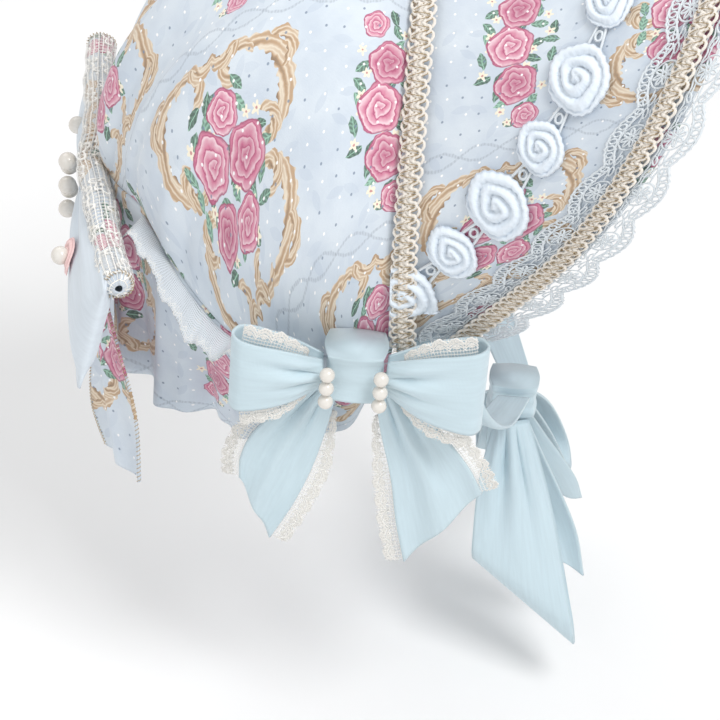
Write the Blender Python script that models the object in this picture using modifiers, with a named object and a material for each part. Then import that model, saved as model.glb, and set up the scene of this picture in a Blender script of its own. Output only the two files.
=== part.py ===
"""Gathered print bonnet with a flared brim, a nape frill, ribbon bows, lace, braid and pearls.

Frame: metres, +Z up, the wearer looks along -Y and +X is the wearer's left.
The origin is the middle of the wearer's head, between the ears.
"""

import math
from bisect import bisect_right
from collections import namedtuple

import bmesh
import bpy
from mathutils import Vector

# Walls, and the gaps kept between pieces
CROWN_WALL = 0.0020
BRIM_WALL = 0.0030
FRILL_WALL = 0.0015
RIBBON_WALL = 0.0012
LACE_WALL = 0.0010
BRAID_WALL = 0.0024
CLEAR = 0.0004
TRIM_GAP = 0.0007
SEAM_GAP = 0.0018
NAPE_GAP = 0.0012
TRIM_BASE = BRIM_WALL / 2 + TRIM_GAP
LACE_HEIGHT = TRIM_BASE + LACE_WALL / 2
BRAID_HEIGHT = TRIM_BASE + LACE_WALL + TRIM_GAP + BRAID_WALL / 2
TRIM_TOP = BRAID_HEIGHT + BRAID_WALL / 2

# Seam between crown and brim: an arch in a plane across the head
SEAM_HALF_WIDTH = 0.082
SEAM_TOP = 0.126
SEAM_AHEAD = 0.0245
SEAM_SPREAD = math.radians(97)

# Brim, measured from the origin to its outer edge, and the trims that lie on it
BRIM_HALF_WIDTH = 0.119
BRIM_TOP = 0.196
BRIM_REACH = 0.148
BRIM_DISH = 0.045
BRAID_WIDTH = 0.0105
BRAID_SETBACK = 0.0060
LACE_REACH = 0.0205
SCALLOP_PITCH = 0.0265
SCALLOP_DEPTH = 0.0055
ROSE_SETBACK = 0.0545
ROSE_REACH = 0.0135
ROSE_PITCH = 0.0305
ROSE_WAIST = 0.0060
ROSE_SPAN = 0.92

# Line where the crown is drawn in round the back of the head
NAPE_HALF_WIDTH = 0.078
NAPE_BACK = 0.098
NAPE_SPREAD = math.radians(106)
NAPE_RISE = 0.022

# Fullness of the crown: shares of the distance from seam to nape
SEAM_PUFF_BACK = 0.32
SEAM_PUFF_OUT = 0.20
NAPE_PUFF_OUT = 0.07
NAPE_PUFF_UP = 0.38
FOLD_DEPTH = 0.0070

# Frill below the nape line, and the narrow edging on that line
FRILL_HEM = 0.075
FRILL_WAVE = 0.0060
FRILL_WAVES = 9
EDGING_DEPTH = 0.0095
EDGING_WAVE = 0.0045
EDGING_WAVES = 4
EDGING_START = 0.36
EDGING_END = 0.83

# Side bows, over the ends of the seam
BOW_AHEAD = 0.0125
BOW_DROP = 0.0180
BOW_BACK_LOOP = 0.0362
BOW_FRONT_LOOP = 0.0390
BOW_BACK_HALF_HEIGHT = 0.0170
BOW_FRONT_HALF_HEIGHT = 0.0200
BOW_PUFF = 0.0085
BAND_HALF_LENGTH = 0.0125
BAND_HALF_HEIGHT = 0.0110
BAND_FRONT = 0.0055
BOW_TAIL = 0.064
BOW_TAIL_HALF_WIDTH = 0.0145
BOW_LACE = 0.0080
LACE_LAP = 0.0020
BOW_PEARL = 0.0062
BOW_PEARL_DROP = 0.0020
BOW_PEARL_INSET = 0.0018
FRONT_TAIL_SLANT = -0.31
BACK_TAIL_SLANT = 0.24

# Bow at the middle of the back
BACK_BOW_DROP = 0.004
BACK_LOOP = 0.085
BACK_HALF_HEIGHT = 0.025
BACK_PUFF = 0.0075
BACK_KNOT_HALF_WIDTH = 0.0105
BACK_KNOT_HALF_HEIGHT = 0.0140
BACK_KNOT_DEPTH = 0.0115
BACK_LEAN = 0.10
BACK_TURN = 0.08
BACK_DROOP = 0.14
BACK_TILT = 0.20
BACK_TAIL = 0.102
BACK_TAIL_HALF_WIDTH = 0.019
BACK_TAIL_START = 0.0056
DRAPED_TAIL_SLANT = 0.10
DRAPED_TAIL_TWIST = 0.80
BACK_PEARL = 0.0078
BACK_PEARL_STEP = 0.0060
BACK_PEARL_PLACE = 0.22

# Chin tie, knotted in a bow under the chin
TIE_HALF_WIDTH = 0.0155
CHIN_AHEAD = 0.083
CHIN_DROP = 0.096
CHIN_HALF_WIDTH = 0.0095
CHIN_HALF_HEIGHT = 0.0085
CHIN_HALF_LENGTH = 0.0115
CHIN_LOOP = 0.080
CHIN_LOOP_HALF_WIDTH = 0.0205
CHIN_LOOP_SLANT = -0.26
CHIN_LOOP_PUFF = 0.0110
CHIN_TAIL = 0.068
CHIN_TAIL_HALF_WIDTH = 0.019
CHIN_TAIL_START = 0.0032
CHIN_TAIL_DROP = 0.0020
CHIN_TAIL_SLANT = -0.18

SIDES = {"right": -1, "left": 1}
STEP = 0.001
SAMPLES = 24
SOFTNESS = 0.2
LOOP_BELLY = 0.56
LOOP_HOLLOW = 0.2
TAIL_FLUTE = 0.12
TAIL_FLUTES = 1.5
LACE_START = 0.3
LACE_GROWTH = 0.35
TURN_COLUMNS = 3
LOOP_COLUMNS = 12
TAIL_COLUMNS = 6

UP = Vector((0, 0, 1))
BACKWARD = Vector((0, 1, 0))

# Colour, as linear red, green and blue, and roughness of each finish
FINISHES = {
    "print_cotton": ((0.69, 0.75, 0.82), 0.85),
    "chiffon": ((0.56, 0.70, 0.78), 0.70),
    "ivory_lace": ((0.88, 0.86, 0.80), 0.80),
    "blue_lace": ((0.76, 0.83, 0.88), 0.80),
    "gilt_braid": ((0.80, 0.71, 0.60), 0.55),
    "pearl": ((0.90, 0.88, 0.83), 0.20),
}

# Brim edge, from the middle of the top (0) to the end by the ear (1), as shares of its sizes
BrimRow = namedtuple("BrimRow", "at out up ahead")
BRIM_ROWS = (
    BrimRow(0.00, 0.00, 1.00, 1.00),
    BrimRow(0.17, 0.45, 0.965, 0.985),
    BrimRow(0.33, 0.78, 0.855, 0.940),
    BrimRow(0.48, 0.945, 0.705, 0.870),
    BrimRow(0.63, 1.00, 0.52, 0.778),
    BrimRow(0.77, 0.945, 0.313, 0.662),
    BrimRow(0.89, 0.80, 0.117, 0.522),
    BrimRow(1.00, 0.66, -0.048, 0.390),
)

# Height of the nape line, as shares of its rise, from the middle of the back to the ear
NapeRow = namedtuple("NapeRow", "at up")
NAPE_ROWS = (
    NapeRow(0.00, 0.55),
    NapeRow(0.20, 0.75),
    NapeRow(0.36, 0.80),
    NapeRow(0.50, -0.25),
    NapeRow(0.64, -1.05),
    NapeRow(0.85, -1.15),
    NapeRow(1.00, -0.85),
)

# Folds of the crown: place along the nape line, lean towards the seam, width and depth
FoldRow = namedtuple("FoldRow", "at lean width depth")
FOLD_ROWS = (
    FoldRow(-0.72, 0.06, 0.070, 0.8),
    FoldRow(-0.56, 0.10, 0.065, -0.7),
    FoldRow(-0.40, 0.14, 0.080, 1.0),
    FoldRow(-0.23, 0.08, 0.065, -0.9),
    FoldRow(-0.08, 0.03, 0.075, 0.9),
    FoldRow(0.08, -0.02, 0.065, -0.8),
    FoldRow(0.24, -0.07, 0.080, 1.0),
    FoldRow(0.41, -0.12, 0.070, -0.8),
    FoldRow(0.57, -0.09, 0.075, 0.9),
    FoldRow(0.73, -0.05, 0.065, -0.6),
)

# Hem of the frill, from the middle of the back to the ear: depth and lean towards the neck
HemRow = namedtuple("HemRow", "at drop inset")
HEM_ROWS = (
    HemRow(0.00, 1.00, 0.06),
    HemRow(0.50, 1.00, 0.05),
    HemRow(0.75, 0.98, 0.08),
    HemRow(0.88, 0.88, 0.07),
    HemRow(1.00, 0.62, 0.04),
)

# Ribbon loop, from the front of the pinch (0) round the end fold to the back of the pinch (1)
LoopRow = namedtuple("LoopRow", "at along puff spread")
LOOP_ROWS = (
    LoopRow(0.00, 0.00, 0.26, 0.38),
    LoopRow(0.20, 0.40, 0.86, 0.76),
    LoopRow(0.40, 0.88, 0.92, 1.00),
    LoopRow(0.50, 1.00, 0.22, 1.02),
    LoopRow(0.60, 0.88, -0.48, 1.00),
    LoopRow(0.80, 0.40, -0.42, 0.74),
    LoopRow(1.00, 0.00, -0.26, 0.38),
)

# Ribbon tails, from the knot (0) to the cut end (1): sway, lift off the head and half width
TailRow = namedtuple("TailRow", "at sway lift spread")
FRONT_TAIL_ROWS = (
    TailRow(0.00, 0.02, 0.00, 0.36),
    TailRow(0.25, 0.14, 0.01, 0.62),
    TailRow(0.50, 0.27, 0.06, 0.80),
    TailRow(0.75, 0.37, 0.10, 0.98),
    TailRow(1.00, 0.45, 0.11, 1.00),
)
BACK_TAIL_ROWS = (
    TailRow(0.00, 0.02, 0.00, 0.36),
    TailRow(0.25, -0.10, 0.01, 0.66),
    TailRow(0.50, -0.22, 0.05, 0.86),
    TailRow(0.75, -0.31, 0.07, 0.78),
    TailRow(1.00, -0.38, 0.06, 0.48),
)
DRAPED_TAIL_ROWS = (
    TailRow(0.00, 0.00, 0.00, 0.24),
    TailRow(0.25, 0.00, -0.01, 0.50),
    TailRow(0.50, -0.01, -0.04, 0.80),
    TailRow(0.75, -0.03, -0.08, 0.90),
    TailRow(1.00, -0.08, -0.13, 0.50),
)
HANGING_TAIL_ROWS = (
    TailRow(0.00, 0.00, 0.00, 0.34),
    TailRow(0.25, 0.00, -0.02, 0.62),
    TailRow(0.50, -0.02, -0.04, 0.86),
    TailRow(0.75, -0.05, -0.04, 1.00),
    TailRow(1.00, -0.10, -0.02, 0.86),
)

# Chin tie, from the brim (0) to the knot (1): shares of the way in, forward and down
TieRow = namedtuple("TieRow", "at inward ahead down")
TIE_ROWS = (
    TieRow(0.00, 0.00, 0.00, 0.00),
    TieRow(0.25, 0.04, 0.12, 0.30),
    TieRow(0.50, 0.20, 0.38, 0.62),
    TieRow(0.75, 0.54, 0.72, 0.89),
    TieRow(1.00, 1.00, 1.00, 1.00),
)
TIE_PLACE = 0.56
TIE_GATHER = 0.45

# Ways in which ribbons run, on the wearer's left: outwards, backwards and up
Heading = namedtuple("Heading", "out back up")
DRAPED_TAIL_WAY = Heading(0.80, -0.06, -0.59)
CHIN_LOOP_WAY = Heading(0.50, -0.16, -0.85)
CHIN_TAIL_WAY = Heading(0.30, -0.20, -0.85)
CHIN_RIBBON_WIDTH = Heading(0.0, 1.0, -0.19)


def smooth(rows, at, column):
    """Value of a column at this place, on a smooth curve through the table's rows."""
    last = len(rows) - 1
    first = sum(1 for row in rows[1:-1] if at >= row.at)

    def slope(i):
        before, after = rows[max(i - 1, 0)], rows[min(i + 1, last)]
        return (getattr(after, column) - getattr(before, column)) / (after.at - before.at)

    low, high = rows[first], rows[first + 1]
    span = high.at - low.at
    t = (at - low.at) / span
    start, end = getattr(low, column), getattr(high, column)
    left, right = slope(first) * span - (end - start), (end - start) - slope(first + 1) * span
    return start + (end - start) * t + t * (1 - t) * ((1 - t) * left + t * right)


def mirrored(rows, odd=()):
    """The rows with their mirror images before them, so that a curve is smooth in the middle."""
    flips = [
        row._replace(at=-row.at, **{name: -getattr(row, name) for name in odd})
        for row in reversed(rows[1:])
    ]
    return (*flips, *rows)


def towards(way, side):
    """Unit vector of a ribbon's way on this side."""
    return Vector((side * way.out, way.back, way.up)).normalized()


BRIM_EDGE = mirrored(BRIM_ROWS, odd=("out",))
NAPE_LINE = mirrored(NAPE_ROWS)
HEM_LINE = mirrored(HEM_ROWS)


def seam(t):
    """Seam arch, from the right ear (-1) over the head to the left ear (1)."""
    angle = SEAM_SPREAD * t
    x, z = SEAM_HALF_WIDTH * math.sin(angle), SEAM_TOP * math.cos(angle)
    return Vector((x, -SEAM_AHEAD, z))


def brim_edge(t):
    out, up, ahead = (smooth(BRIM_EDGE, t, name) for name in ("out", "up", "ahead"))
    return Vector((BRIM_HALF_WIDTH * out, -BRIM_REACH * ahead, BRIM_TOP * up))


def brim(t, w):
    """Brim, from the seam (0) to its outer edge (1), slightly dished."""
    inner, outer = seam(t), brim_edge(t)
    across = (brim_edge(t + STEP) - brim_edge(t - STEP)).cross(outer - inner).normalized()
    dish = BRIM_DISH * (outer - inner).length * math.sin(math.pi * w)
    return inner.lerp(outer, w) + across * dish


def lifted(surface, u, v, height):
    """Point at this height over a surface, on the side that u turned towards v gives."""
    along = surface(u + STEP, v) - surface(u - STEP, v)
    across = surface(u, v + STEP) - surface(u, v - STEP)
    return surface(u, v) + along.cross(across).normalized() * height


def brim_width(t):
    return (brim_edge(t) - seam(t)).length


def on_brim(t, setback, height):
    """Point over the brim's outer face, this far in from its edge."""
    return lifted(brim, t, 1 - setback / brim_width(t), -height)


def nape(t):
    """Drawn-in line, from below the right ear (-1) round the back to the left ear (1)."""
    angle = NAPE_SPREAD * t
    x, y = NAPE_HALF_WIDTH * math.sin(angle), NAPE_BACK * math.cos(angle)
    return Vector((x, y, NAPE_RISE * smooth(NAPE_LINE, t, "up")))


def nape_outward(t):
    angle = NAPE_SPREAD * t
    return Vector((math.sin(angle), math.cos(angle), 0))


def crown_form(t, w):
    """Puffed crown without its folds, from the seam (0) to the nape line (1)."""
    start, end = seam(t) + BACKWARD * SEAM_GAP, nape(t)
    length = (end - start).length
    rim_out = Vector((math.sin(SEAM_SPREAD * t), 0, math.cos(SEAM_SPREAD * t)))
    leaving = start + length * (BACKWARD * SEAM_PUFF_BACK + rim_out * SEAM_PUFF_OUT)
    arriving = end + length * (nape_outward(t) * NAPE_PUFF_OUT + UP * NAPE_PUFF_UP)
    v = 1 - w
    return v**3 * start + 3 * v * v * w * leaving + 3 * v * w * w * arriving + w**3 * end


def crown_fold(t, w):
    """Height of the gathers: full near the nape line, and fading towards the seam."""
    if not (0 < w < 1 and abs(t) < 1):
        return 0
    height = 0
    for row in FOLD_ROWS:
        away = (t - row.at - row.lean * (1 - w)) / row.width
        height += row.depth * math.exp(-away * away)
    swell = w**0.8 * math.sin(math.pi * w) ** 0.5
    return FOLD_DEPTH * swell * height * math.sqrt(1 - t * t)


def crown(t, w):
    return lifted(crown_form, t, w, crown_fold(t, w))


def frill(t, w):
    """Frill, from just under the nape line (0) to its waved hem (1)."""
    top = nape(t) - UP * NAPE_GAP
    inset = 1 - smooth(HEM_LINE, t, "inset") * w
    hem = -FRILL_HEM * smooth(HEM_LINE, t, "drop")
    wave = FRILL_WAVE * w * math.cos(math.pi * FRILL_WAVES * t)
    point = Vector((top.x * inset, top.y * inset, top.z + (hem - top.z) * w))
    return point + nape_outward(t) * wave


def edging(t, w):
    """Narrow edging that stands out from under the nape line, over the frill."""
    out = FRILL_WALL / 2 + CLEAR + EDGING_DEPTH * w
    wave = EDGING_WAVE * w * math.sin(2 * math.pi * EDGING_WAVES * t)
    drop = NAPE_GAP + LACE_WALL + EDGING_WAVE * w
    return nape(t) + nape_outward(t) * out + UP * (wave - drop)


def finish_of(name):
    """Material of a finish, made once and shared."""
    material = bpy.data.materials.get(name)
    if material is None:
        colour, roughness = FINISHES[name]
        material = bpy.data.materials.new(name)
        material.use_nodes = True
        shader = material.node_tree.nodes["Principled BSDF"]
        shader.inputs["Base Color"].default_value = (*colour, 1)
        shader.inputs["Roughness"].default_value = roughness
        shader.inputs["Metallic"].default_value = 0
        material.diffuse_color = (*colour, 1)
    return material


def add_object(name, shape, finish, collection):
    """Smooth object from a bmesh, in the bonnet's collection."""
    mesh = bpy.data.meshes.new(name)
    shape.to_mesh(mesh)
    shape.free()
    mesh.shade_smooth()
    mesh.materials.append(finish_of(finish))
    piece = bpy.data.objects.new(name, mesh)
    collection.objects.link(piece)
    return piece


def add_cloth(name, place, grid, wall, finish, collection):
    """Sheet of cloth: a grid laid on place(u, v), both from 0 to 1, with a wall round it."""
    shape = bmesh.new()
    bmesh.ops.create_grid(shape, x_segments=grid[0], y_segments=grid[1], size=0.5)
    for vertex in shape.verts:
        vertex.co = place(vertex.co.x + 0.5, vertex.co.y + 0.5)
    bmesh.ops.recalc_face_normals(shape, faces=shape.faces)
    piece = add_object(name, shape, finish, collection)
    thicken = piece.modifiers.new("wall", "SOLIDIFY")
    thicken.thickness = wall
    thicken.offset = 0
    return piece


def add_block(name, centre, half_sizes, finish, collection):
    """Block with soft edges, such as the knot of a bow."""
    shape = bmesh.new()
    bmesh.ops.create_cube(shape, size=2)
    for vertex in shape.verts:
        vertex.co = centre + Vector(a * b for a, b in zip(vertex.co, half_sizes))
    piece = add_object(name, shape, finish, collection)
    soften = piece.modifiers.new("soft_edges", "BEVEL")
    soften.width = SOFTNESS * min(half_sizes)
    soften.segments = 2
    return piece


def add_pearl(name, centre, diameter, collection):
    shape = bmesh.new()
    bmesh.ops.create_uvsphere(shape, u_segments=10, v_segments=5, radius=diameter / 2)
    bmesh.ops.translate(shape, verts=shape.verts, vec=centre)
    return add_object(name, shape, "pearl", collection)


def arch(u, span=1.0):
    """Place along an arch, from -span to span, for a grid's share u."""
    return (2 * u - 1) * span


def measured(path, steps=90):
    """Length of a path, and the place on it that lies at a given share of that length."""
    points = [path(i / steps) for i in range(steps + 1)]
    reached = [0]
    for a, b in zip(points, points[1:]):
        reached.append(reached[-1] + (b - a).length)

    def place(share):
        goal = share * reached[-1]
        i = min(bisect_right(reached, goal), steps) - 1
        return (i + (goal - reached[i]) / (reached[i + 1] - reached[i])) / steps

    return reached[-1], place


def scalloped(u, count, depth):
    """How much of a scallop is missing at this place along a row of them."""
    return depth * (1 - abs(math.sin(math.pi * count * u)))


def make_crown(collection):
    add_cloth(
        "crown", lambda u, v: crown(arch(u), v), (44, 10), CROWN_WALL, "print_cotton", collection
    )


def make_brim(collection):
    add_cloth(
        "brim", lambda u, v: brim(arch(u), v), (36, 4), BRIM_WALL, "print_cotton", collection
    )


def edge_trim(t, across, height):
    """Point of the edge's trims, this far outwards from the middle of the edge braid."""
    return on_brim(t, BRAID_SETBACK - across, height)


def make_edge_trims(collection):
    """Scalloped lace along the brim's edge, and the braid that holds it down."""
    length, place = measured(lambda u: brim_edge(arch(u)))
    count = round(length / SCALLOP_PITCH)

    def lace(u, v):
        reach = LACE_REACH - scalloped(u, count, SCALLOP_DEPTH)
        return edge_trim(arch(place(u)), (2 * v - 1) * reach, LACE_HEIGHT)

    def braid(u, v):
        return edge_trim(arch(place(u)), (v - 0.5) * BRAID_WIDTH, BRAID_HEIGHT)

    add_cloth("edge_lace", lace, (3 * count, 2), LACE_WALL, "blue_lace", collection)
    add_cloth("edge_braid", braid, (3 * count, 1), BRAID_WALL, "gilt_braid", collection)


def make_inner_trims(collection):
    """Row of lace roses across the brim, cut off at the seam, and the braid over the seam."""

    def middle(u):
        return on_brim(arch(u, ROSE_SPAN), ROSE_SETBACK, LACE_HEIGHT)

    length, place = measured(middle)
    count = round(length / ROSE_PITCH)

    def roses(u, v):
        reach = ROSE_REACH - scalloped(u, count, ROSE_WAIST)
        t = arch(place(u), ROSE_SPAN)
        setback = min(ROSE_SETBACK - (2 * v - 1) * reach, brim_width(t) - CLEAR)
        return on_brim(t, setback, LACE_HEIGHT)

    def braid(u, v):
        t = arch(u)
        setback = brim_width(t) - CLEAR - (1 - v) * BRAID_WIDTH
        return on_brim(t, setback, BRAID_HEIGHT)

    add_cloth("rose_lace", roses, (3 * count, 2), LACE_WALL, "blue_lace", collection)
    add_cloth("seam_braid", braid, (32, 1), BRAID_WALL, "gilt_braid", collection)


def make_nape(collection):
    """Frill below the nape line, and the edging on each half of that line."""
    add_cloth(
        "nape_frill",
        lambda u, v: frill(arch(u), v),
        (5 * FRILL_WAVES, 4),
        FRILL_WALL,
        "print_cotton",
        collection,
    )

    def edging_on(side):
        def place(u, v):
            return edging(side * (EDGING_START + (EDGING_END - EDGING_START) * u), v)

        return place

    for word, side in SIDES.items():
        add_cloth(
            f"{word}_nape_edging", edging_on(side), (22, 1), LACE_WALL, "ivory_lace", collection
        )


def ribbon_loop(start, along, across, outward, length, half_width, puff, slant=0):
    """Surface of a ribbon loop: u goes round its end fold, v across the ribbon."""

    def place(u, v):
        share = smooth(LOOP_ROWS, u, "along")
        spread = half_width * smooth(LOOP_ROWS, u, "spread") * (2 * v - 1)
        hollow = LOOP_HOLLOW * math.cos(math.pi * (2 * v - 1)) * (1 - share)
        depth = puff * (smooth(LOOP_ROWS, u, "puff") + hollow)
        reach = length * share * (1 + slant * (2 * v - 1))
        return start + along * reach + across * spread + outward * depth

    return place


def ribbon_tail(start, down, across, outward, rows, length, half_width, slant, twist=0):
    """Surface of a ribbon tail: u goes down to its slanted end, v across the ribbon."""

    def place(u, v):
        side = 2 * v - 1
        drop = length * u * (1 + slant * side)
        spread = half_width * smooth(rows, u, "spread") * side
        sway = length * smooth(rows, u, "sway") + spread
        flute = TAIL_FLUTE * half_width * u * math.cos(TAIL_FLUTES * math.pi * side)
        lift = length * smooth(rows, u, "lift") + flute - twist * u * spread
        return start + down * drop + across * sway + outward * lift

    return place


def ribbon_lace(ribbon, outward, columns, last):
    """Lace behind both edges of a ribbon, and round its gathered end, in one strip."""
    legs = last - 1
    total = 2 * legs + TURN_COLUMNS

    def place(u, v):
        column = abs(2 * u - 1) * total / 2
        turned = min(1, column * 2 / TURN_COLUMNS)
        across = turned if u > 0.5 else -turned
        leg = max(0, column - TURN_COLUMNS / 2)
        share = (1 + leg) / columns
        rim = (1 + across) / 2
        width = ribbon(share, 1) - ribbon(share, 0)
        length = (ribbon(share + STEP, rim) - ribbon(share - STEP, rim)).normalized()
        inward = length.cross(width).normalized()
        if inward.dot(outward) > 0:
            inward.negate()
        sideways = length.cross(inward)
        if sideways.dot(width) < 0:
            sideways.negate()
        away = (sideways * across - length * (1 - turned)).normalized()
        fullness = min(1, LACE_START + LACE_GROWTH * leg) if turned == 1 else 0
        reach = (LACE_LAP + BOW_LACE * fullness) * v - LACE_LAP
        depth = (RIBBON_WALL + LACE_WALL) / 2 + CLEAR + RIBBON_WALL * (1 - turned)
        return ribbon(share, rim) + away * reach + inward * depth

    return place, (total, 1)


def reach_under(side, front, back, low, top):
    """How far out the cloth and the trims of one side reach within this window."""
    reach = SEAM_HALF_WIDTH
    for i in range(SAMPLES + 1):
        t = side * (1 + i / SAMPLES) / 2
        for j in range(SAMPLES + 1):
            w = j / SAMPLES
            on_crown = crown(t, w) + Vector((side * CROWN_WALL / 2, 0, 0))
            on_trims = lifted(brim, t, w, -TRIM_TOP)
            for point in (on_crown, on_trims):
                if front < point.y < back and low < point.z < top:
                    reach = max(reach, side * point.x)
    return reach


def make_side_bow(word, side, collection):
    """Ribbon bow over the end of the seam, with lace, tails and two strands of pearls."""
    outward = Vector((side, 0, 0))
    front, back = -BOW_AHEAD - BAND_HALF_LENGTH, -BOW_AHEAD + BAND_HALF_LENGTH
    half_height = max(BOW_FRONT_HALF_HEIGHT, BOW_BACK_HALF_HEIGHT)
    seat = CLEAR + reach_under(
        side,
        front - BOW_FRONT_LOOP,
        back + BOW_BACK_LOOP,
        -BOW_DROP - half_height,
        -BOW_DROP + half_height,
    )
    band_seat = CLEAR + reach_under(
        side, front, back, -BOW_DROP - BAND_HALF_HEIGHT, -BOW_DROP + BAND_HALF_HEIGHT
    )
    tail_seat = seat + LACE_WALL + CLEAR + RIBBON_WALL / 2
    loop_seat = tail_seat + RIBBON_WALL + CLEAR + LOOP_BELLY * BOW_PUFF
    centre = outward * loop_seat - BACKWARD * BOW_AHEAD - UP * BOW_DROP
    half_depth = (loop_seat + BAND_FRONT - band_seat) / 2
    add_block(
        f"{word}_bow_band",
        centre + outward * (BAND_FRONT - half_depth),
        (half_depth, BAND_HALF_LENGTH, BAND_HALF_HEIGHT),
        "chiffon",
        collection,
    )

    tail_top = Vector((side * tail_seat, -BOW_AHEAD, centre.z - BAND_HALF_HEIGHT - 2 * CLEAR))
    front_loop = (BOW_FRONT_LOOP, BOW_FRONT_HALF_HEIGHT)
    back_loop = (BOW_BACK_LOOP, BOW_BACK_HALF_HEIGHT)
    ends = (
        ("front", -BACKWARD, front_loop, FRONT_TAIL_ROWS, FRONT_TAIL_SLANT),
        ("back", BACKWARD, back_loop, BACK_TAIL_ROWS, BACK_TAIL_SLANT),
    )
    for place, along, loop_size, rows, slant in ends:
        pinch = centre + along * (BAND_HALF_LENGTH + CLEAR)
        loop = ribbon_loop(pinch, along, UP, outward, *loop_size, BOW_PUFF)
        name = f"{word}_bow_{place}"
        add_cloth(f"{name}_loop", loop, (LOOP_COLUMNS, 3), RIBBON_WALL, "chiffon", collection)
        lace, grid = ribbon_lace(loop, outward, LOOP_COLUMNS, LOOP_COLUMNS // 2 - 1)
        add_cloth(f"{name}_loop_lace", lace, grid, LACE_WALL, "ivory_lace", collection)

        start = tail_top + along * BAND_HALF_LENGTH
        tail = ribbon_tail(
            start, -UP, -BACKWARD, outward, rows, BOW_TAIL, BOW_TAIL_HALF_WIDTH, slant
        )
        add_cloth(f"{name}_tail", tail, (TAIL_COLUMNS, 3), RIBBON_WALL, "chiffon", collection)
        lace, grid = ribbon_lace(tail, outward, TAIL_COLUMNS, TAIL_COLUMNS)
        add_cloth(f"{name}_tail_lace", lace, grid, LACE_WALL, "ivory_lace", collection)

        strand = centre + along * (BAND_HALF_LENGTH - BOW_PEARL_INSET) - UP * BOW_PEARL_DROP
        strand += outward * (BAND_FRONT + BOW_PEARL / 2 + CLEAR)
        for number in (1, 2, 3):
            spot = strand + UP * (2 - number) * (BOW_PEARL + CLEAR)
            add_pearl(f"{name}_pearl_{number}", spot, BOW_PEARL, collection)


def make_back_bow(collection):
    """Wide bow on the nape line, with a strand of pearls down its knot."""
    top, low = (BACK_KNOT_HALF_HEIGHT * sign - BACK_BOW_DROP for sign in (1, -1))
    shares = [i / SAMPLES for i in range(SAMPLES + 1)]
    points = [surface(0, share) for surface in (frill, crown) for share in shares]
    behind = max(point.y for point in points if low < point.z < top)
    seat = behind + CROWN_WALL / 2 + CLEAR
    centre = Vector((0, seat + BACK_KNOT_DEPTH / 2, -BACK_BOW_DROP))
    half_sizes = (BACK_KNOT_HALF_WIDTH, BACK_KNOT_DEPTH / 2, BACK_KNOT_HALF_HEIGHT)
    add_block("back_bow_knot", centre, half_sizes, "print_cotton", collection)

    tail_y = seat + RIBBON_WALL
    loop_y = tail_y + RIBBON_WALL + CLEAR + LOOP_BELLY * BACK_PUFF
    for word, side in SIDES.items():
        lean = BACK_LEAN - side * BACK_TURN
        beside = BACK_KNOT_HALF_WIDTH + CLEAR + lean * BACK_PUFF / 2
        pinch = Vector((side * beside, loop_y, centre.z))
        along = Vector((side, -lean, -BACK_DROOP)).normalized()
        across = Vector((0, -BACK_TILT, 1)).normalized()
        outward = across.cross(along).normalized() * side
        loop = ribbon_loop(
            pinch, along, across, outward, BACK_LOOP, BACK_HALF_HEIGHT, BACK_PUFF
        )
        name = f"back_bow_{word}"
        add_cloth(
            f"{name}_loop", loop, (LOOP_COLUMNS, 4), RIBBON_WALL, "print_cotton", collection
        )
        lift = RIBBON_WALL / 2 + CLEAR + BACK_PEARL / 2
        spot = lifted(loop, BACK_PEARL_PLACE, 0.5, -side * lift)
        add_pearl(f"{name}_pearl", spot, BACK_PEARL, collection)

        down = towards(DRAPED_TAIL_WAY, side)
        across = down.cross(BACKWARD).normalized() * side
        pinched = BACK_TAIL_HALF_WIDTH * DRAPED_TAIL_ROWS[0].spread * abs(across.z)
        start = Vector((side * BACK_TAIL_START, tail_y, centre.z))
        start -= UP * (BACK_KNOT_HALF_HEIGHT + CLEAR + pinched)
        tail = ribbon_tail(
            start,
            down,
            across,
            down.cross(across) * -side,
            DRAPED_TAIL_ROWS,
            BACK_TAIL,
            BACK_TAIL_HALF_WIDTH,
            DRAPED_TAIL_SLANT,
            DRAPED_TAIL_TWIST,
        )
        add_cloth(
            f"{name}_tail", tail, (TAIL_COLUMNS, 3), RIBBON_WALL, "print_cotton", collection
        )

    reach = BACK_KNOT_DEPTH / 2 + CLEAR + BACK_PEARL / 2
    for number in range(1, 6):
        sway = BACK_PEARL_STEP / 2 * (-1) ** number
        spot = centre + Vector((sway, reach, (3 - number) * BACK_PEARL_STEP))
        add_pearl(f"back_bow_pearl_{number}", spot, BACK_PEARL, collection)


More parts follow.
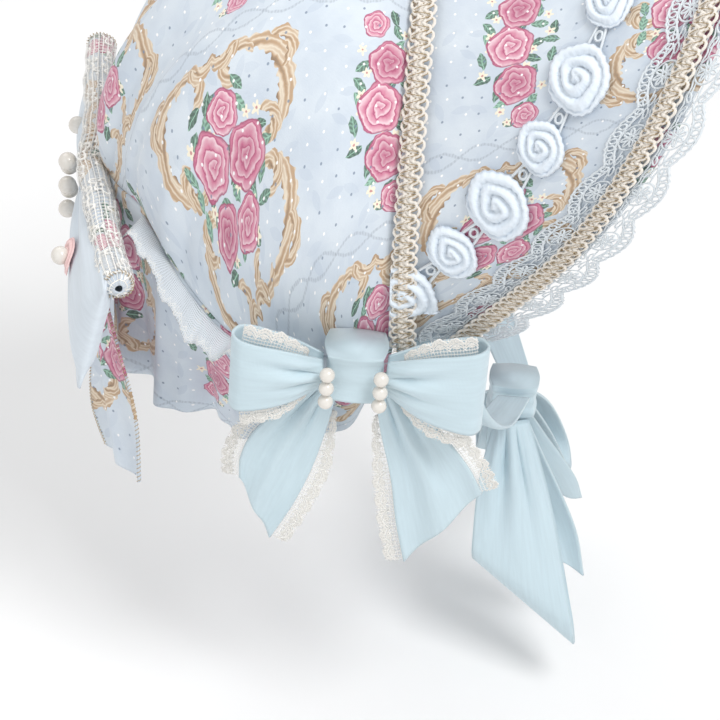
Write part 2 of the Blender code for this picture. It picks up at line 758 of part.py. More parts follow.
def make_chin_tie(collection):
    """Ties from the ends of the brim, meeting in a bow that hangs under the chin."""
    centre = Vector((0, -CHIN_AHEAD, -CHIN_DROP))
    half_sizes = (CHIN_HALF_WIDTH, CHIN_HALF_LENGTH, CHIN_HALF_HEIGHT)
    add_block("chin_knot", centre, half_sizes, "chiffon", collection)

    def tie_on(side):
        beside = CHIN_HALF_WIDTH + CLEAR + RIBBON_WALL / 2
        knot_side = centre + Vector((side * beside, 0, CHIN_HALF_HEIGHT / 2))

        def place(u, v):
            spread = TIE_HALF_WIDTH * (2 * v - 1)
            top = brim(side, TIE_PLACE + spread / brim_width(side)) - UP * 2 * CLEAR
            way = knot_side - BACKWARD * spread * TIE_GATHER - top
            inward, ahead, down = (smooth(TIE_ROWS, u, name) for name in TieRow._fields[1:])
            return top + Vector((way.x * inward, way.y * ahead, way.z * down))

        return place

    for word, side in SIDES.items():
        tie = tie_on(side)
        add_cloth(f"chin_tie_{word}", tie, (10, 2), RIBBON_WALL, "chiffon", collection)

        across = towards(CHIN_RIBBON_WIDTH, side)
        along = towards(CHIN_LOOP_WAY, side)
        outward = along.cross(across).normalized() * side
        beside = CHIN_HALF_WIDTH + LOOP_HOLLOW * CHIN_LOOP_PUFF
        pinch = centre + Vector((side * beside, 0, -CHIN_HALF_HEIGHT))
        loop = ribbon_loop(
            pinch,
            along,
            across,
            outward,
            CHIN_LOOP,
            CHIN_LOOP_HALF_WIDTH,
            CHIN_LOOP_PUFF,
            CHIN_LOOP_SLANT,
        )
        add_cloth(
            f"chin_{word}_loop", loop, (LOOP_COLUMNS, 3), RIBBON_WALL, "chiffon", collection
        )

        down = towards(CHIN_TAIL_WAY, side)
        outward = down.cross(across).normalized() * side
        start = centre + Vector((side * CHIN_TAIL_START, 0, -CHIN_HALF_HEIGHT - CHIN_TAIL_DROP))
        tail = ribbon_tail(
            start,
            down,
            across,
            outward,
            HANGING_TAIL_ROWS,
            CHIN_TAIL,
            CHIN_TAIL_HALF_WIDTH,
            CHIN_TAIL_SLANT,
        )
        add_cloth(f"chin_{word}_tail", tail, (TAIL_COLUMNS, 3), RIBBON_WALL, "chiffon", collection)


def main():
    for old in list(bpy.data.objects):
        bpy.data.objects.remove(old, do_unlink=True)
    collection = bpy.data.collections.new("bonnet")
    bpy.context.scene.collection.children.link(collection)
    make_crown(collection)
    make_brim(collection)
    make_edge_trims(collection)
    make_inner_trims(collection)
    make_nape(collection)
    for word, side in SIDES.items():
        make_side_bow(word, side, collection)
    make_back_bow(collection)
    make_chin_tie(collection)


main()
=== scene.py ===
"""Dressed model of the gathered print bonnet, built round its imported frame.

Lengths are in metres. The wearer looks along -Y, and +X is the wearer's left.
"""

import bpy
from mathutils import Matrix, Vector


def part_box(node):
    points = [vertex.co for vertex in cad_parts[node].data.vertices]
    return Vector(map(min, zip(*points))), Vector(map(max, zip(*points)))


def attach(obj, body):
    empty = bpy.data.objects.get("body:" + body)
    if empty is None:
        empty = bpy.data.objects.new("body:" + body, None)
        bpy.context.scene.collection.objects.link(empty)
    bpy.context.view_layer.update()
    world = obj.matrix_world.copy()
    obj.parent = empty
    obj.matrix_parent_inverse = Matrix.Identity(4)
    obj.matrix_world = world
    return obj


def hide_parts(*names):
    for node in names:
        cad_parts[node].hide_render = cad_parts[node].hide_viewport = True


bl_info = {
    "name": "Gathered Print Bonnet",
    "version": (1, 0, 0),
    "blender": (4, 5, 0),
    "location": "View3D > Sidebar > Bonnet",
    "description": "Cloth, laces, braids, bows and pearls of a flared print bonnet",
    "category": "Object",
}

import math
from collections import namedtuple

import bmesh
import bpy
import numpy as np
from bpy.props import FloatProperty, FloatVectorProperty, IntProperty, PointerProperty
from bpy.types import Operator, Panel, PropertyGroup
from mathutils import Matrix, Vector

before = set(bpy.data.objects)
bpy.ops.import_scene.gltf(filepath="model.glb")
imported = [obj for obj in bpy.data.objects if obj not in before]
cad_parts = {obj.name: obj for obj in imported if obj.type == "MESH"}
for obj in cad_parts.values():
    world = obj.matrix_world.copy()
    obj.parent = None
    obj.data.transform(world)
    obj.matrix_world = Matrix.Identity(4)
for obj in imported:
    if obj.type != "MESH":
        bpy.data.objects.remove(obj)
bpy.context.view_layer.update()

SIDES = {"right": -1, "left": 1}
STEP = 0.001
WELD = 1e-6
UP = np.array((0.0, 0.0, 1.0))
BACKWARD = np.array((0.0, 1.0, 0.0))

# Walls, and the gaps kept between pieces
CROWN_WALL = 0.0020
BRIM_WALL = 0.0030
FRILL_WALL = 0.0015
RIBBON_WALL = 0.0012
LACE_WALL = 0.0010
BRAID_WALL = 0.0024
CLEAR = 0.0004
TRIM_GAP = 0.0007
SEAM_GAP = 0.0004
NAPE_GAP = 0.0012
TRIM_BASE = BRIM_WALL / 2 + TRIM_GAP
LACE_HEIGHT = TRIM_BASE + LACE_WALL / 2
BRAID_HEIGHT = TRIM_BASE + LACE_WALL + TRIM_GAP + BRAID_WALL / 2

# Seam, brim and the trims on it
SEAM_HALF_WIDTH = 0.082
SEAM_TOP = 0.126
SEAM_AHEAD = 0.0245
SEAM_SPREAD = math.radians(97)
BRIM_HALF_WIDTH = 0.119
BRIM_TOP = 0.196
BRIM_REACH = 0.148
BRIM_DISH = 0.045
BRIM_PRINT_SHIFT = 0.0085
BRIM_PRINT_START = 0.38
BRIM_PRINT_ARCH = (0.182, 0.124)
BRAID_WIDTH = 0.0105
BRAID_SETBACK = 0.0060
LACE_REACH = 0.0205
SCALLOP_PITCH = 0.0265
SCALLOP_DEPTH = 0.0055
ROSE_SETBACK = 0.0545
ROSE_REACH = 0.0135
ROSE_PITCH = 0.0305
ROSE_SPAN = 0.92
ROSE_STRETCH = (1.0, 1.06)
BIG_ROSE = (ROSE_REACH * 0.98, 0.0036)
SMALL_ROSE = (ROSE_REACH * 0.76, 0.0032)

# Nape line, crown and frill
NAPE_HALF_WIDTH = 0.078
NAPE_BACK = 0.098
NAPE_SPREAD = math.radians(106)
NAPE_RISE = 0.022
SEAM_PUFF_BACK = 0.32
SEAM_PUFF_OUT = 0.20
NAPE_PUFF_OUT = 0.07
NAPE_PUFF_UP = 0.38
FOLD_DEPTH = 0.0070
CROWN_PRINT_SHIFT = 0.046
CROWN_PRINT_START = 0.50
CROWN_PRINT_ARCH = 0.192
FRILL_HEM = 0.075
FRILL_WAVE = 0.0060
FRILL_WAVES = 9
EDGING_DEPTH = 0.0095
EDGING_WAVE = 0.0045
EDGING_WAVES = 4
EDGING_START = 0.36
EDGING_END = 0.83
RUFFLE = 0.0024
RUFFLES = 15
EDGING_PITCH = 0.0042
FRILL_RIPPLE = 0.0016

# Side bows
BOW_AHEAD = 0.0125
BOW_DROP = 0.0180
BOW_BACK_LOOP = 0.0362
BOW_FRONT_LOOP = 0.0390
BOW_BACK_HALF_HEIGHT = 0.0170
BOW_FRONT_HALF_HEIGHT = 0.0200
BOW_PUFF = 0.0085
BAND_HALF_LENGTH = 0.0125
BAND_HALF_HEIGHT = 0.0110
BOW_TAIL = 0.064
BOW_TAIL_HALF_WIDTH = 0.0145
BOW_LACE = 0.0080
LACE_LAP = 0.0020
FRONT_TAIL_SLANT = -0.31
BACK_TAIL_SLANT = 0.24

# Back bow
BACK_LOOP = 0.085
BACK_HALF_HEIGHT = 0.025
BACK_PUFF = 0.0075
BACK_KNOT_HALF_WIDTH = 0.0105
BACK_KNOT_HALF_HEIGHT = 0.0140
BACK_LEAN = 0.10
BACK_TURN = 0.08
BACK_DROOP = 0.14
BACK_TILT = 0.20
BACK_TAIL = 0.102
BACK_TAIL_HALF_WIDTH = 0.019
BACK_TAIL_START = 0.0056
DRAPED_TAIL_SLANT = 0.10
DRAPED_TAIL_TWIST = 0.80
BACK_PEARL_PLACE = 0.22
PILLOW_START = 0.45
PILLOW_CLOSING = 0.44
LEFT_LOOP_BACK = 0.008
ROSETTE_REACH = 0.0072
ROSETTE_HEIGHT = 0.0022

# Netted roll of print along the back bow's upper edge
ROLL_RADIUS = 0.0056
ROLL_WALL = 0.0006
ROLL_NET_GAP = 0.0009
ROLL_GOLD_GAP = 0.0010
ROLL_GOLD_PLACE = 0.016
ROLL_REACH = 0.96
ROLL_START = 0.62
ROLL_RISE = 0.30
ROLL_WAVE = 0.0012
ROLL_BACK = 0.001
ROLL_LEAN = {-1: -0.0055, 1: 0.012}

# Chin tie
TIE_HALF_WIDTH = 0.0155
CHIN_AHEAD = 0.083
CHIN_DROP = 0.096
CHIN_HALF_WIDTH = 0.0095
CHIN_HALF_HEIGHT = 0.0085
CHIN_LOOP = 0.080
CHIN_LOOP_HALF_WIDTH = 0.0205
CHIN_LOOP_SLANT = -0.26
CHIN_LOOP_PUFF = 0.0110
CHIN_TAIL = 0.068
CHIN_TAIL_HALF_WIDTH = 0.019
CHIN_TAIL_START = 0.0032
CHIN_TAIL_DROP = 0.0020
CHIN_TAIL_SLANT = -0.18
TIE_PLACE = 0.56
TIE_GATHER = 0.45
TIE_FLUTE = 0.0022

# How ribbons belly, flute and carry their lace
LOOP_BELLY = 0.56
LOOP_HOLLOW = 0.2
TAIL_FLUTE = 0.12
TAIL_FLUTES = 1.5
LACE_START = 0.3
LACE_GROWTH = 0.35
TURN_COLUMNS = 3
LOOP_COLUMNS = 12
TAIL_COLUMNS = 6

BrimRow = namedtuple("BrimRow", "at out up ahead")
BRIM_ROWS = (
    BrimRow(0.00, 0.00, 1.00, 1.00),
    BrimRow(0.17, 0.45, 0.965, 0.985),
    BrimRow(0.33, 0.78, 0.855, 0.940),
    BrimRow(0.48, 0.945, 0.705, 0.870),
    BrimRow(0.63, 1.00, 0.52, 0.778),
    BrimRow(0.77, 0.945, 0.313, 0.662),
    BrimRow(0.89, 0.80, 0.117, 0.522),
    BrimRow(1.00, 0.66, -0.048, 0.390),
)
NapeRow = namedtuple("NapeRow", "at up")
NAPE_ROWS = (
    NapeRow(0.00, 0.55),
    NapeRow(0.20, 0.75),
    NapeRow(0.36, 0.80),
    NapeRow(0.50, -0.25),
    NapeRow(0.64, -1.05),
    NapeRow(0.85, -1.15),
    NapeRow(1.00, -0.85),
)
FoldRow = namedtuple("FoldRow", "at lean width depth")
FOLD_ROWS = (
    FoldRow(-0.72, 0.06, 0.070, 0.8),
    FoldRow(-0.56, 0.10, 0.065, -0.7),
    FoldRow(-0.40, 0.14, 0.080, 1.0),
    FoldRow(-0.23, 0.08, 0.065, -0.9),
    FoldRow(-0.08, 0.03, 0.075, 0.9),
    FoldRow(0.08, -0.02, 0.065, -0.8),
    FoldRow(0.24, -0.07, 0.080, 1.0),
    FoldRow(0.41, -0.12, 0.070, -0.8),
    FoldRow(0.57, -0.09, 0.075, 0.9),
    FoldRow(0.73, -0.05, 0.065, -0.6),
)
# Small gathers between the broad folds, strongest where the cloth is drawn in
GATHER_ROWS = (
    FoldRow(-0.80, 0.02, 0.022, 0.51),
    FoldRow(-0.665, 0.03, 0.018, -0.54),
    FoldRow(-0.62, 0.05, 0.016, 0.44),
    FoldRow(-0.50, 0.08, 0.020, -0.58),
    FoldRow(-0.455, 0.11, 0.016, 0.51),
    FoldRow(-0.345, 0.12, 0.018, -0.58),
    FoldRow(-0.30, 0.10, 0.015, 0.48),
    FoldRow(-0.17, 0.05, 0.018, -0.51),
    FoldRow(-0.03, 0.01, 0.015, -0.44),
    FoldRow(0.04, 0.00, 0.016, 0.51),
    FoldRow(0.15, -0.04, 0.018, -0.51),
    FoldRow(0.29, -0.07, 0.016, 0.48),
    FoldRow(0.35, -0.10, 0.018, -0.58),
    FoldRow(0.47, -0.10, 0.016, 0.51),
    FoldRow(0.52, -0.08, 0.019, -0.54),
    FoldRow(0.64, -0.06, 0.016, 0.48),
    FoldRow(0.69, -0.04, 0.018, -0.54),
    FoldRow(0.81, -0.02, 0.020, 0.48),
)
HemRow = namedtuple("HemRow", "at drop inset")
HEM_ROWS = (
    HemRow(0.00, 1.00, 0.06),
    HemRow(0.50, 1.00, 0.05),
    HemRow(0.75, 0.98, 0.08),
    HemRow(0.88, 0.88, 0.07),
    HemRow(1.00, 0.62, 0.04),
)
LoopRow = namedtuple("LoopRow", "at along puff spread")
LOOP_ROWS = (
    LoopRow(0.00, 0.00, 0.26, 0.38),
    LoopRow(0.20, 0.40, 0.86, 0.76),
    LoopRow(0.40, 0.88, 0.92, 1.00),
    LoopRow(0.50, 1.00, 0.22, 1.02),
    LoopRow(0.60, 0.88, -0.48, 1.00),
    LoopRow(0.80, 0.40, -0.42, 0.74),
    LoopRow(1.00, 0.00, -0.26, 0.38),
)
TailRow = namedtuple("TailRow", "at sway lift spread")
FRONT_TAIL_ROWS = (
    TailRow(0.00, 0.02, 0.00, 0.36),
    TailRow(0.25, 0.14, 0.01, 0.62),
    TailRow(0.50, 0.27, 0.06, 0.80),
    TailRow(0.75, 0.37, 0.10, 0.98),
    TailRow(1.00, 0.45, 0.11, 1.00),
)
BACK_TAIL_ROWS = (
    TailRow(0.00, 0.02, 0.00, 0.36),
    TailRow(0.25, -0.10, 0.01, 0.66),
    TailRow(0.50, -0.22, 0.05, 0.86),
    TailRow(0.75, -0.31, 0.07, 0.78),
    TailRow(1.00, -0.38, 0.06, 0.48),
)
DRAPED_TAIL_ROWS = (
    TailRow(0.00, 0.00, 0.00, 0.24),
    TailRow(0.25, 0.00, -0.01, 0.50),
    TailRow(0.50, -0.01, -0.04, 0.80),
    TailRow(0.75, -0.03, -0.08, 0.90),
    TailRow(1.00, -0.08, -0.13, 0.50),
)
HANGING_TAIL_ROWS = (
    TailRow(0.00, 0.00, 0.00, 0.34),
    TailRow(0.25, 0.00, -0.02, 0.62),
    TailRow(0.50, -0.02, -0.04, 0.86),
    TailRow(0.75, -0.05, -0.04, 1.00),
    TailRow(1.00, -0.10, -0.02, 0.86),
)
TieRow = namedtuple("TieRow", "at inward ahead down")
TIE_ROWS = (
    TieRow(0.00, 0.00, 0.00, 0.00),
    TieRow(0.25, 0.04, 0.12, 0.30),
    TieRow(0.50, 0.20, 0.38, 0.62),
    TieRow(0.75, 0.54, 0.72, 0.89),
    TieRow(1.00, 1.00, 1.00, 1.00),
)
Heading = namedtuple("Heading", "out back up")
DRAPED_TAIL_WAY = Heading(0.80, -0.06, -0.59)
CHIN_LOOP_WAY = Heading(0.50, -0.16, -0.85)
CHIN_TAIL_WAY = Heading(0.30, -0.20, -0.85)
CHIN_RIBBON_WIDTH = Heading(0.0, 1.0, -0.19)

# Creases pressed into a ribbon: place across it, width, depth, and how far they run
CreaseRow = namedtuple("CreaseRow", "across width depth fade lean")
LOOP_CREASES = (
    CreaseRow(0.60, 0.075, -0.60, 1.1, 0.16),
    CreaseRow(0.38, 0.050, -0.46, 1.9, -0.10),
    CreaseRow(0.50, 0.045, 0.26, 2.2, 0.02),
    CreaseRow(0.80, 0.060, 0.34, 1.7, 0.10),
    CreaseRow(0.20, 0.055, 0.26, 1.9, -0.06),
)
TAIL_CREASES = (
    CreaseRow(0.34, 0.075, -0.20, 0.8, -0.05),
    CreaseRow(0.62, 0.060, -0.16, 1.3, 0.06),
    CreaseRow(0.48, 0.050, 0.13, 1.2, 0.02),
)

# Printed roses on one repeat of the cloth, in millimetres: place, radius, depth of colour
RoseRow = namedtuple("RoseRow", "x y size tone")
PRINT_ROSES = (
    RoseRow(-46.0, 7.5, 9.4, 0.25),
    RoseRow(-28.0, 3.0, 9.8, 0.60),
    RoseRow(-46.5, -11.5, 8.2, 0.75),
    RoseRow(-31.5, -15.0, 7.6, 0.35),
    RoseRow(-34.5, 18.5, 6.8, 0.15),
    RoseRow(37.0, 18.0, 8.8, 0.80),
    RoseRow(34.5, 0.5, 9.8, 0.10),
    RoseRow(38.5, -17.5, 9.2, 0.70),
    RoseRow(43.5, -33.0, 6.0, 0.30),
    RoseRow(30.0, 33.5, 5.6, 0.20),
)
ClusterRow = namedtuple("ClusterRow", "x y half_width half_height")
PRINT_CLUSTERS = (
    ClusterRow(-37.5, 0.5, 23.0, 27.0),
    ClusterRow(37.5, -0.5, 16.0, 38.0),
)
# Gilt scrolls of the frame, in the quarter to its upper right, in millimetres and degrees
ScrollRow = namedtuple("ScrollRow", "x y radius start end width")
PRINT_SCROLLS = (
    ScrollRow(15.0, 19.0, 16.5, -95, 100, 3.6),
    ScrollRow(20.5, 8.0, 5.0, -160, 110, 2.4),
    ScrollRow(11.5, 30.0, 6.2, 10, 262, 2.6),
    ScrollRow(27.5, 29.0, 6.6, -70, 110, 2.4),
    ScrollRow(5.5, 38.5, 5.6, -176, -4, 2.2),
)
REPEAT_WIDTH = 150.0
REPEAT_HEIGHT = 92.0
SPOT_STEP = 7.6


def vec(x, y, z):
    """Array of points from coordinates of any matching shapes."""
    return np.stack(np.broadcast_arrays(x, y, z), axis=-1).astype(float)


def unit(v):
    return v / np.maximum(np.linalg.norm(v, axis=-1, keepdims=True), 1e-12)


def by(scalar, v):
    return np.asarray(scalar, float)[..., None] * v


def dot(a, b):
    return np.sum(a * b, axis=-1)


def smooth(rows, at, column):
    """Values of a column at these places, on a smooth curve through the table's rows."""
    at = np.asarray(at, float)
    places = np.array([row.at for row in rows])
    values = np.array([getattr(row, column) for row in rows])
    last = len(rows) - 1
    before = np.maximum(np.arange(last + 1) - 1, 0)
    after = np.minimum(np.arange(last + 1) + 1, last)
    slopes = (values[after] - values[before]) / (places[after] - places[before])
    low = np.searchsorted(places[1:-1], at, side="right")
    span = places[low + 1] - places[low]
    t = (at - places[low]) / span
    rise = values[low + 1] - values[low]
    left, right = slopes[low] * span - rise, rise - slopes[low + 1] * span
    return values[low] + rise * t + t * (1 - t) * ((1 - t) * left + t * right)


def mirrored(rows, odd=()):
    """The rows with their mirror images before them, so that a curve is smooth in the middle."""
    flips = [
        row._replace(at=-row.at, **{name: -getattr(row, name) for name in odd})
        for row in reversed(rows[1:])
    ]
    return (*flips, *rows)


BRIM_EDGE = mirrored(BRIM_ROWS, odd=("out",))
NAPE_LINE = mirrored(NAPE_ROWS)
HEM_LINE = mirrored(HEM_ROWS)


def towards(way, side):
    return unit(np.array((side * way.out, way.back, way.up)))


def arch(u, span=1.0):
    return (2 * np.asarray(u, float) - 1) * span


def seam(t):
    angle = SEAM_SPREAD * np.asarray(t, float)
    return vec(SEAM_HALF_WIDTH * np.sin(angle), -SEAM_AHEAD, SEAM_TOP * np.cos(angle))


def brim_edge(t):
    out, up, ahead = (smooth(BRIM_EDGE, t, name) for name in ("out", "up", "ahead"))
    return vec(BRIM_HALF_WIDTH * out, -BRIM_REACH * ahead, BRIM_TOP * up)


def brim(t, w):
    """Brim, from the seam (0) to its outer edge (1), slightly dished."""
    inner, outer = seam(t), brim_edge(t)
    across = unit(np.cross(brim_edge(t + STEP) - brim_edge(t - STEP), outer - inner))
    dish = BRIM_DISH * np.linalg.norm(outer - inner, axis=-1) * np.sin(math.pi * w)
    return inner + by(w, outer - inner) + by(dish, across)


def lifted(surface, u, v, height):
    """Points at this height over a surface, on the side that u turned towards v gives."""
    along = surface(u + STEP, v) - surface(u - STEP, v)
    across = surface(u, v + STEP) - surface(u, v - STEP)
    return surface(u, v) + by(height, unit(np.cross(along, across)))


def brim_width(t):
    return np.linalg.norm(brim_edge(t) - seam(t), axis=-1)


def on_brim(t, setback, height):
    """Points over the brim's outer face, this far in from its edge."""
    return lifted(brim, t, 1 - setback / brim_width(t), -height)


def nape(t):
    angle = NAPE_SPREAD * t
    rise = NAPE_RISE * smooth(NAPE_LINE, t, "up")
    return vec(NAPE_HALF_WIDTH * np.sin(angle), NAPE_BACK * np.cos(angle), rise)


def nape_outward(t):
    angle = NAPE_SPREAD * t
    return vec(np.sin(angle), np.cos(angle), 0)


def crown_form(t, w):
    """Puffed crown without its folds, from the seam (0) to the nape line (1)."""
    start, end = seam(t) + BACKWARD * SEAM_GAP, nape(t)
    length = np.linalg.norm(end - start, axis=-1)
    rim_out = vec(np.sin(SEAM_SPREAD * t), 0, np.cos(SEAM_SPREAD * t))
    leaving = start + by(length, BACKWARD * SEAM_PUFF_BACK + rim_out * SEAM_PUFF_OUT)
    arriving = end + by(length, nape_outward(t) * NAPE_PUFF_OUT + UP * NAPE_PUFF_UP)
    v = 1 - w
    return (
        by(v**3, start)
        + by(3 * v * v * w, leaving)
        + by(3 * v * w * w, arriving)
        + by(w**3, end)
    )


def ridges(rows, t, w):
    height = np.zeros(np.broadcast(t, w).shape)
    for row in rows:
        away = (t - row.at - row.lean * (1 - w)) / row.width
        height += row.depth * np.exp(-away * away)
    return height


def crown_fold(t, w):
    """Height of the crown's folds and of the small gathers between them."""
    inside = np.clip(w, 0, 1)
    swell = inside**0.8 * np.sqrt(np.maximum(np.sin(math.pi * inside), 0))
    ends = np.sqrt(np.maximum(1 - t * t, 0))
    small = inside**2.2 * np.sqrt(np.maximum(np.sin(math.pi * inside), 0))
    height = swell * ridges(FOLD_ROWS, t, w) + small * ridges(GATHER_ROWS, t, w)
    return FOLD_DEPTH * height * ends


def crown(t, w):
    return lifted(crown_form, t, w, crown_fold(t, w))


def frill(t, w):
    """Frill, from just under the nape line (0) to its waved hem (1)."""
    top = nape(t) - UP * NAPE_GAP
    inset = 1 - smooth(HEM_LINE, t, "inset") * w
    hem = -FRILL_HEM * smooth(HEM_LINE, t, "drop")
    wave = FRILL_WAVE * w * np.cos(math.pi * FRILL_WAVES * t)
    wave = wave + FRILL_RIPPLE * w * np.cos(math.pi * 2.7 * FRILL_WAVES * t + 0.8)
    height = top[..., 2] + (hem - top[..., 2]) * w
    return vec(top[..., 0] * inset, top[..., 1] * inset, height) + by(wave, nape_outward(t))


def edging(t, w):
    """Narrow edging that stands out from under the nape line, over the frill."""
    out = FRILL_WALL / 2 + CLEAR + EDGING_DEPTH * w
    wave = EDGING_WAVE * w * np.sin(2 * math.pi * EDGING_WAVES * t)
    ruffle = RUFFLE * w * np.sin(2 * math.pi * RUFFLES * t)
    drop = NAPE_GAP + LACE_WALL + EDGING_WAVE * w
    place = nape(t) + by(out + 0.4 * np.abs(ruffle), nape_outward(t))
    return place + by(wave - drop + ruffle, UP)


def creased(rows, along, v):
    """Depth of a ribbon's creases, deepest at the knot and fading along it."""
    depth = np.zeros(np.broadcast(along, v).shape)
    for row in rows:
        away = (v - row.across - row.lean * along) / (row.width * (0.6 + along))
        depth += row.depth * np.exp(-away * away) * np.clip(1 - along, 0, 1) ** row.fade
    return depth


def ribbon_loop(start, along, across, outward, length, half_width, puff, slant=0):
    """Surface of a ribbon loop: u goes round the loop, v across the ribbon."""

    def place(u, v):
        share = smooth(LOOP_ROWS, u, "along")
        spread = half_width * smooth(LOOP_ROWS, u, "spread") * (2 * v - 1)
        hollow = LOOP_HOLLOW * np.cos(math.pi * (2 * v - 1)) * (1 - share)
        front = np.clip(1.1 - 2 * u, 0, 1)
        crease = creased(LOOP_CREASES, share, v) * front * np.clip(4 * share, 0, 1)
        depth = puff * (smooth(LOOP_ROWS, u, "puff") + hollow + crease)
        reach = length * share * (1 + slant * (2 * v - 1))
        return start + by(reach, along) + by(spread, across) + by(depth, outward)

    return place


def ribbon_tail(start, down, across, outward, rows, length, half_width, slant, twist=0):
    """Surface of a ribbon tail: u goes down to its slanted end, v across the ribbon."""

    def place(u, v):
        side = 2 * v - 1
        drop = length * u * (1 + slant * side)
        spread = half_width * smooth(rows, u, "spread") * side
        sway = length * smooth(rows, u, "sway") + spread
        flute = TAIL_FLUTE * half_width * u * np.cos(TAIL_FLUTES * math.pi * side)
        crease = creased(TAIL_CREASES, u, v) * half_width * np.clip(5 * u, 0, 1)
        lift = length * smooth(rows, u, "lift") + flute + crease - twist * u * spread
        return start + by(drop, down) + by(sway, across) + by(lift, outward)

    return place


def ribbon_lace(ribbon, outward, columns, last):
    """Lace behind both edges of a ribbon, and round its gathered end, in one strip."""
    total = 2 * (last - 1) + TURN_COLUMNS

    def place(u, v):
        column = np.abs(2 * u - 1) * total / 2
        turned = np.clip(column * 2 / TURN_COLUMNS, 0, 1)
        across = np.where(u > 0.5, turned, -turned)
        leg = np.maximum(0, column - TURN_COLUMNS / 2)
        share = (1 + leg) / columns
        rim = (1 + across) / 2
        width = ribbon(share, np.ones_like(share)) - ribbon(share, np.zeros_like(share))
        length = unit(ribbon(share + STEP, rim) - ribbon(share - STEP, rim))
        inward = unit(np.cross(length, width))
        inward = by(np.where(dot(inward, outward) > 0, -1.0, 1.0), inward)
        sideways = np.cross(length, inward)
        sideways = by(np.where(dot(sideways, width) < 0, -1.0, 1.0), sideways)
        away = unit(by(across, sideways) - by(1 - turned, length))
        fullness = np.minimum(1, LACE_START + LACE_GROWTH * leg) * turned**4
        reach = (LACE_LAP + BOW_LACE * fullness) * v - LACE_LAP
        depth = (RIBBON_WALL + LACE_WALL) / 2 + CLEAR + RIBBON_WALL * (1 - turned)
        return ribbon(share, rim) + by(reach, away) + by(depth, inward)

    return place


def chin_centre():
    return np.array((0.0, -CHIN_AHEAD, -CHIN_DROP))


def chin_tie(side):
    """Tie from under the end of the brim down the jaw to the knot."""
    beside = CHIN_HALF_WIDTH + CLEAR + RIBBON_WALL / 2
    knot_side = chin_centre() + np.array((side * beside, 0, CHIN_HALF_HEIGHT / 2))

    def place(u, v):
        spread = TIE_HALF_WIDTH * (2 * v - 1)
        edge = np.full(np.shape(spread), float(side))
        top = brim(edge, TIE_PLACE + spread / brim_width(edge)) - UP * 2 * CLEAR
        way = knot_side - by(spread * TIE_GATHER, BACKWARD) - top
        shares = [smooth(TIE_ROWS, u, name) for name in TieRow._fields[1:]]
        flute = TIE_FLUTE * np.sin(math.pi * u) * np.sin(3 * math.pi * v)
        return top + way * np.stack(shares, axis=-1) + by(flute, np.array((side, -0.4, 0.0)))

    return place


def linear(red, green, blue):
    """Scene colour of an 8-bit screen colour."""
    return tuple(
        c / 255 / 12.92 if c <= 10 else ((c / 255 + 0.055) / 1.055) ** 2.4
        for c in (red, green, blue)
    )


def colour_property(name, description, screen):
    return FloatVectorProperty(
        name=name, description=description, default=linear(*screen), subtype="COLOR", min=0, max=1
    )


def length_property(name, description, default):
    return FloatProperty(
        name=name, description=description, default=default, min=0, unit="LENGTH", precision=5
    )


class BonnetColours(PropertyGroup):
    """Colours of the cloth, ribbons and trims"""

    ground: colour_property("Ground", "Pale ground of the printed cotton", (219, 228, 236))
    shadow: colour_property("Shadow print", "Faint tracery on the ground", (194, 206, 220))
    rose_deep: colour_property("Rose, deep", "Lines and hearts of the roses", (168, 74, 110))
    rose_mid: colour_property("Rose", "Petals of the roses", (216, 124, 155))
    rose_pale: colour_property("Rose, pale", "Petal edges of the roses", (248, 222, 228))
    leaf: colour_property("Leaf", "Printed leaves", (118, 152, 134))
    gilt: colour_property("Gilt", "Printed scrolls", (196, 164, 130))
    gilt_light: colour_property("Gilt, light", "Lit side of the scrolls", (238, 225, 204))
    cream: colour_property("Cream", "Small printed flowers", (248, 240, 218))
    ribbon: colour_property("Ribbon", "Chiffon bows and ties", (202, 221, 229))
    ivory: colour_property("Ivory", "Lace of the bows", (255, 253, 248))
    lace: colour_property("Lace", "Guipure along the brim", (242, 249, 254))
    rose_lace: colour_property("Rose lace", "Raised lace roses", (228, 237, 246))
    braid: colour_property("Braid", "Cream yarn of the braids", (253, 246, 236))
    gold: colour_property("Gold", "Metal thread", (214, 186, 138))
    pearl: colour_property("Pearl", "Beads", (224, 219, 210))
    rosette: colour_property("Rosette", "Ribbon roses under single pearls", (242, 206, 204))


class BonnetTrims(PropertyGroup):
    """Sizes of threads, braids and nets"""

    thread: length_property("Lace thread", "Radius of the guipure's threads", 0.00048)
    braid_pitch: length_property("Braid pitch", "Length of one loop of the braid", 0.0053)
    yarn: length_property("Braid yarn", "Radius of the braid's yarn", 0.00068)
    gold_thread: length_property("Gold thread", "Radius of the metal thread", 0.00016)
    border_pitch: length_property("Border pitch", "Scallops of the ribbon lace", 0.0070)
    net: length_property("Net", "Size of a mesh of the net", 0.0014)
    ring_steps: IntProperty(
        name="Ring steps", description="Corners of a lace ring", default=8, min=6
    )


class BonnetStage(PropertyGroup):
    """Camera, lights and floor"""

    azimuth: FloatProperty(
        name="Azimuth", description="Side the camera looks from", default=math.radians(270),
        subtype="ANGLE",
    )
    elevation: FloatProperty(
        name="Elevation", description="Height of the view", default=math.radians(37),
        subtype="ANGLE",
    )
    roll: FloatProperty(
        name="Roll", description="Lean of the wearer in the picture", default=math.radians(4.7),
        subtype="ANGLE",
    )
    distance: length_property("Distance", "From the camera to its aim", 1.30)
    lens: FloatProperty(name="Lens", description="Focal length in millimetres", default=138.3)
    aim: FloatVectorProperty(
        name="Aim", description="Point in the middle of the picture",
        default=(0.0620, -0.0142, -0.1327), subtype="TRANSLATION", unit="LENGTH",
    )
    floor: FloatProperty(
        name="Floor", description="Height of the floor", default=-0.215, unit="LENGTH"
    )
    sky: FloatProperty(name="Sky", description="Strength of the white surroundings", default=0.66)


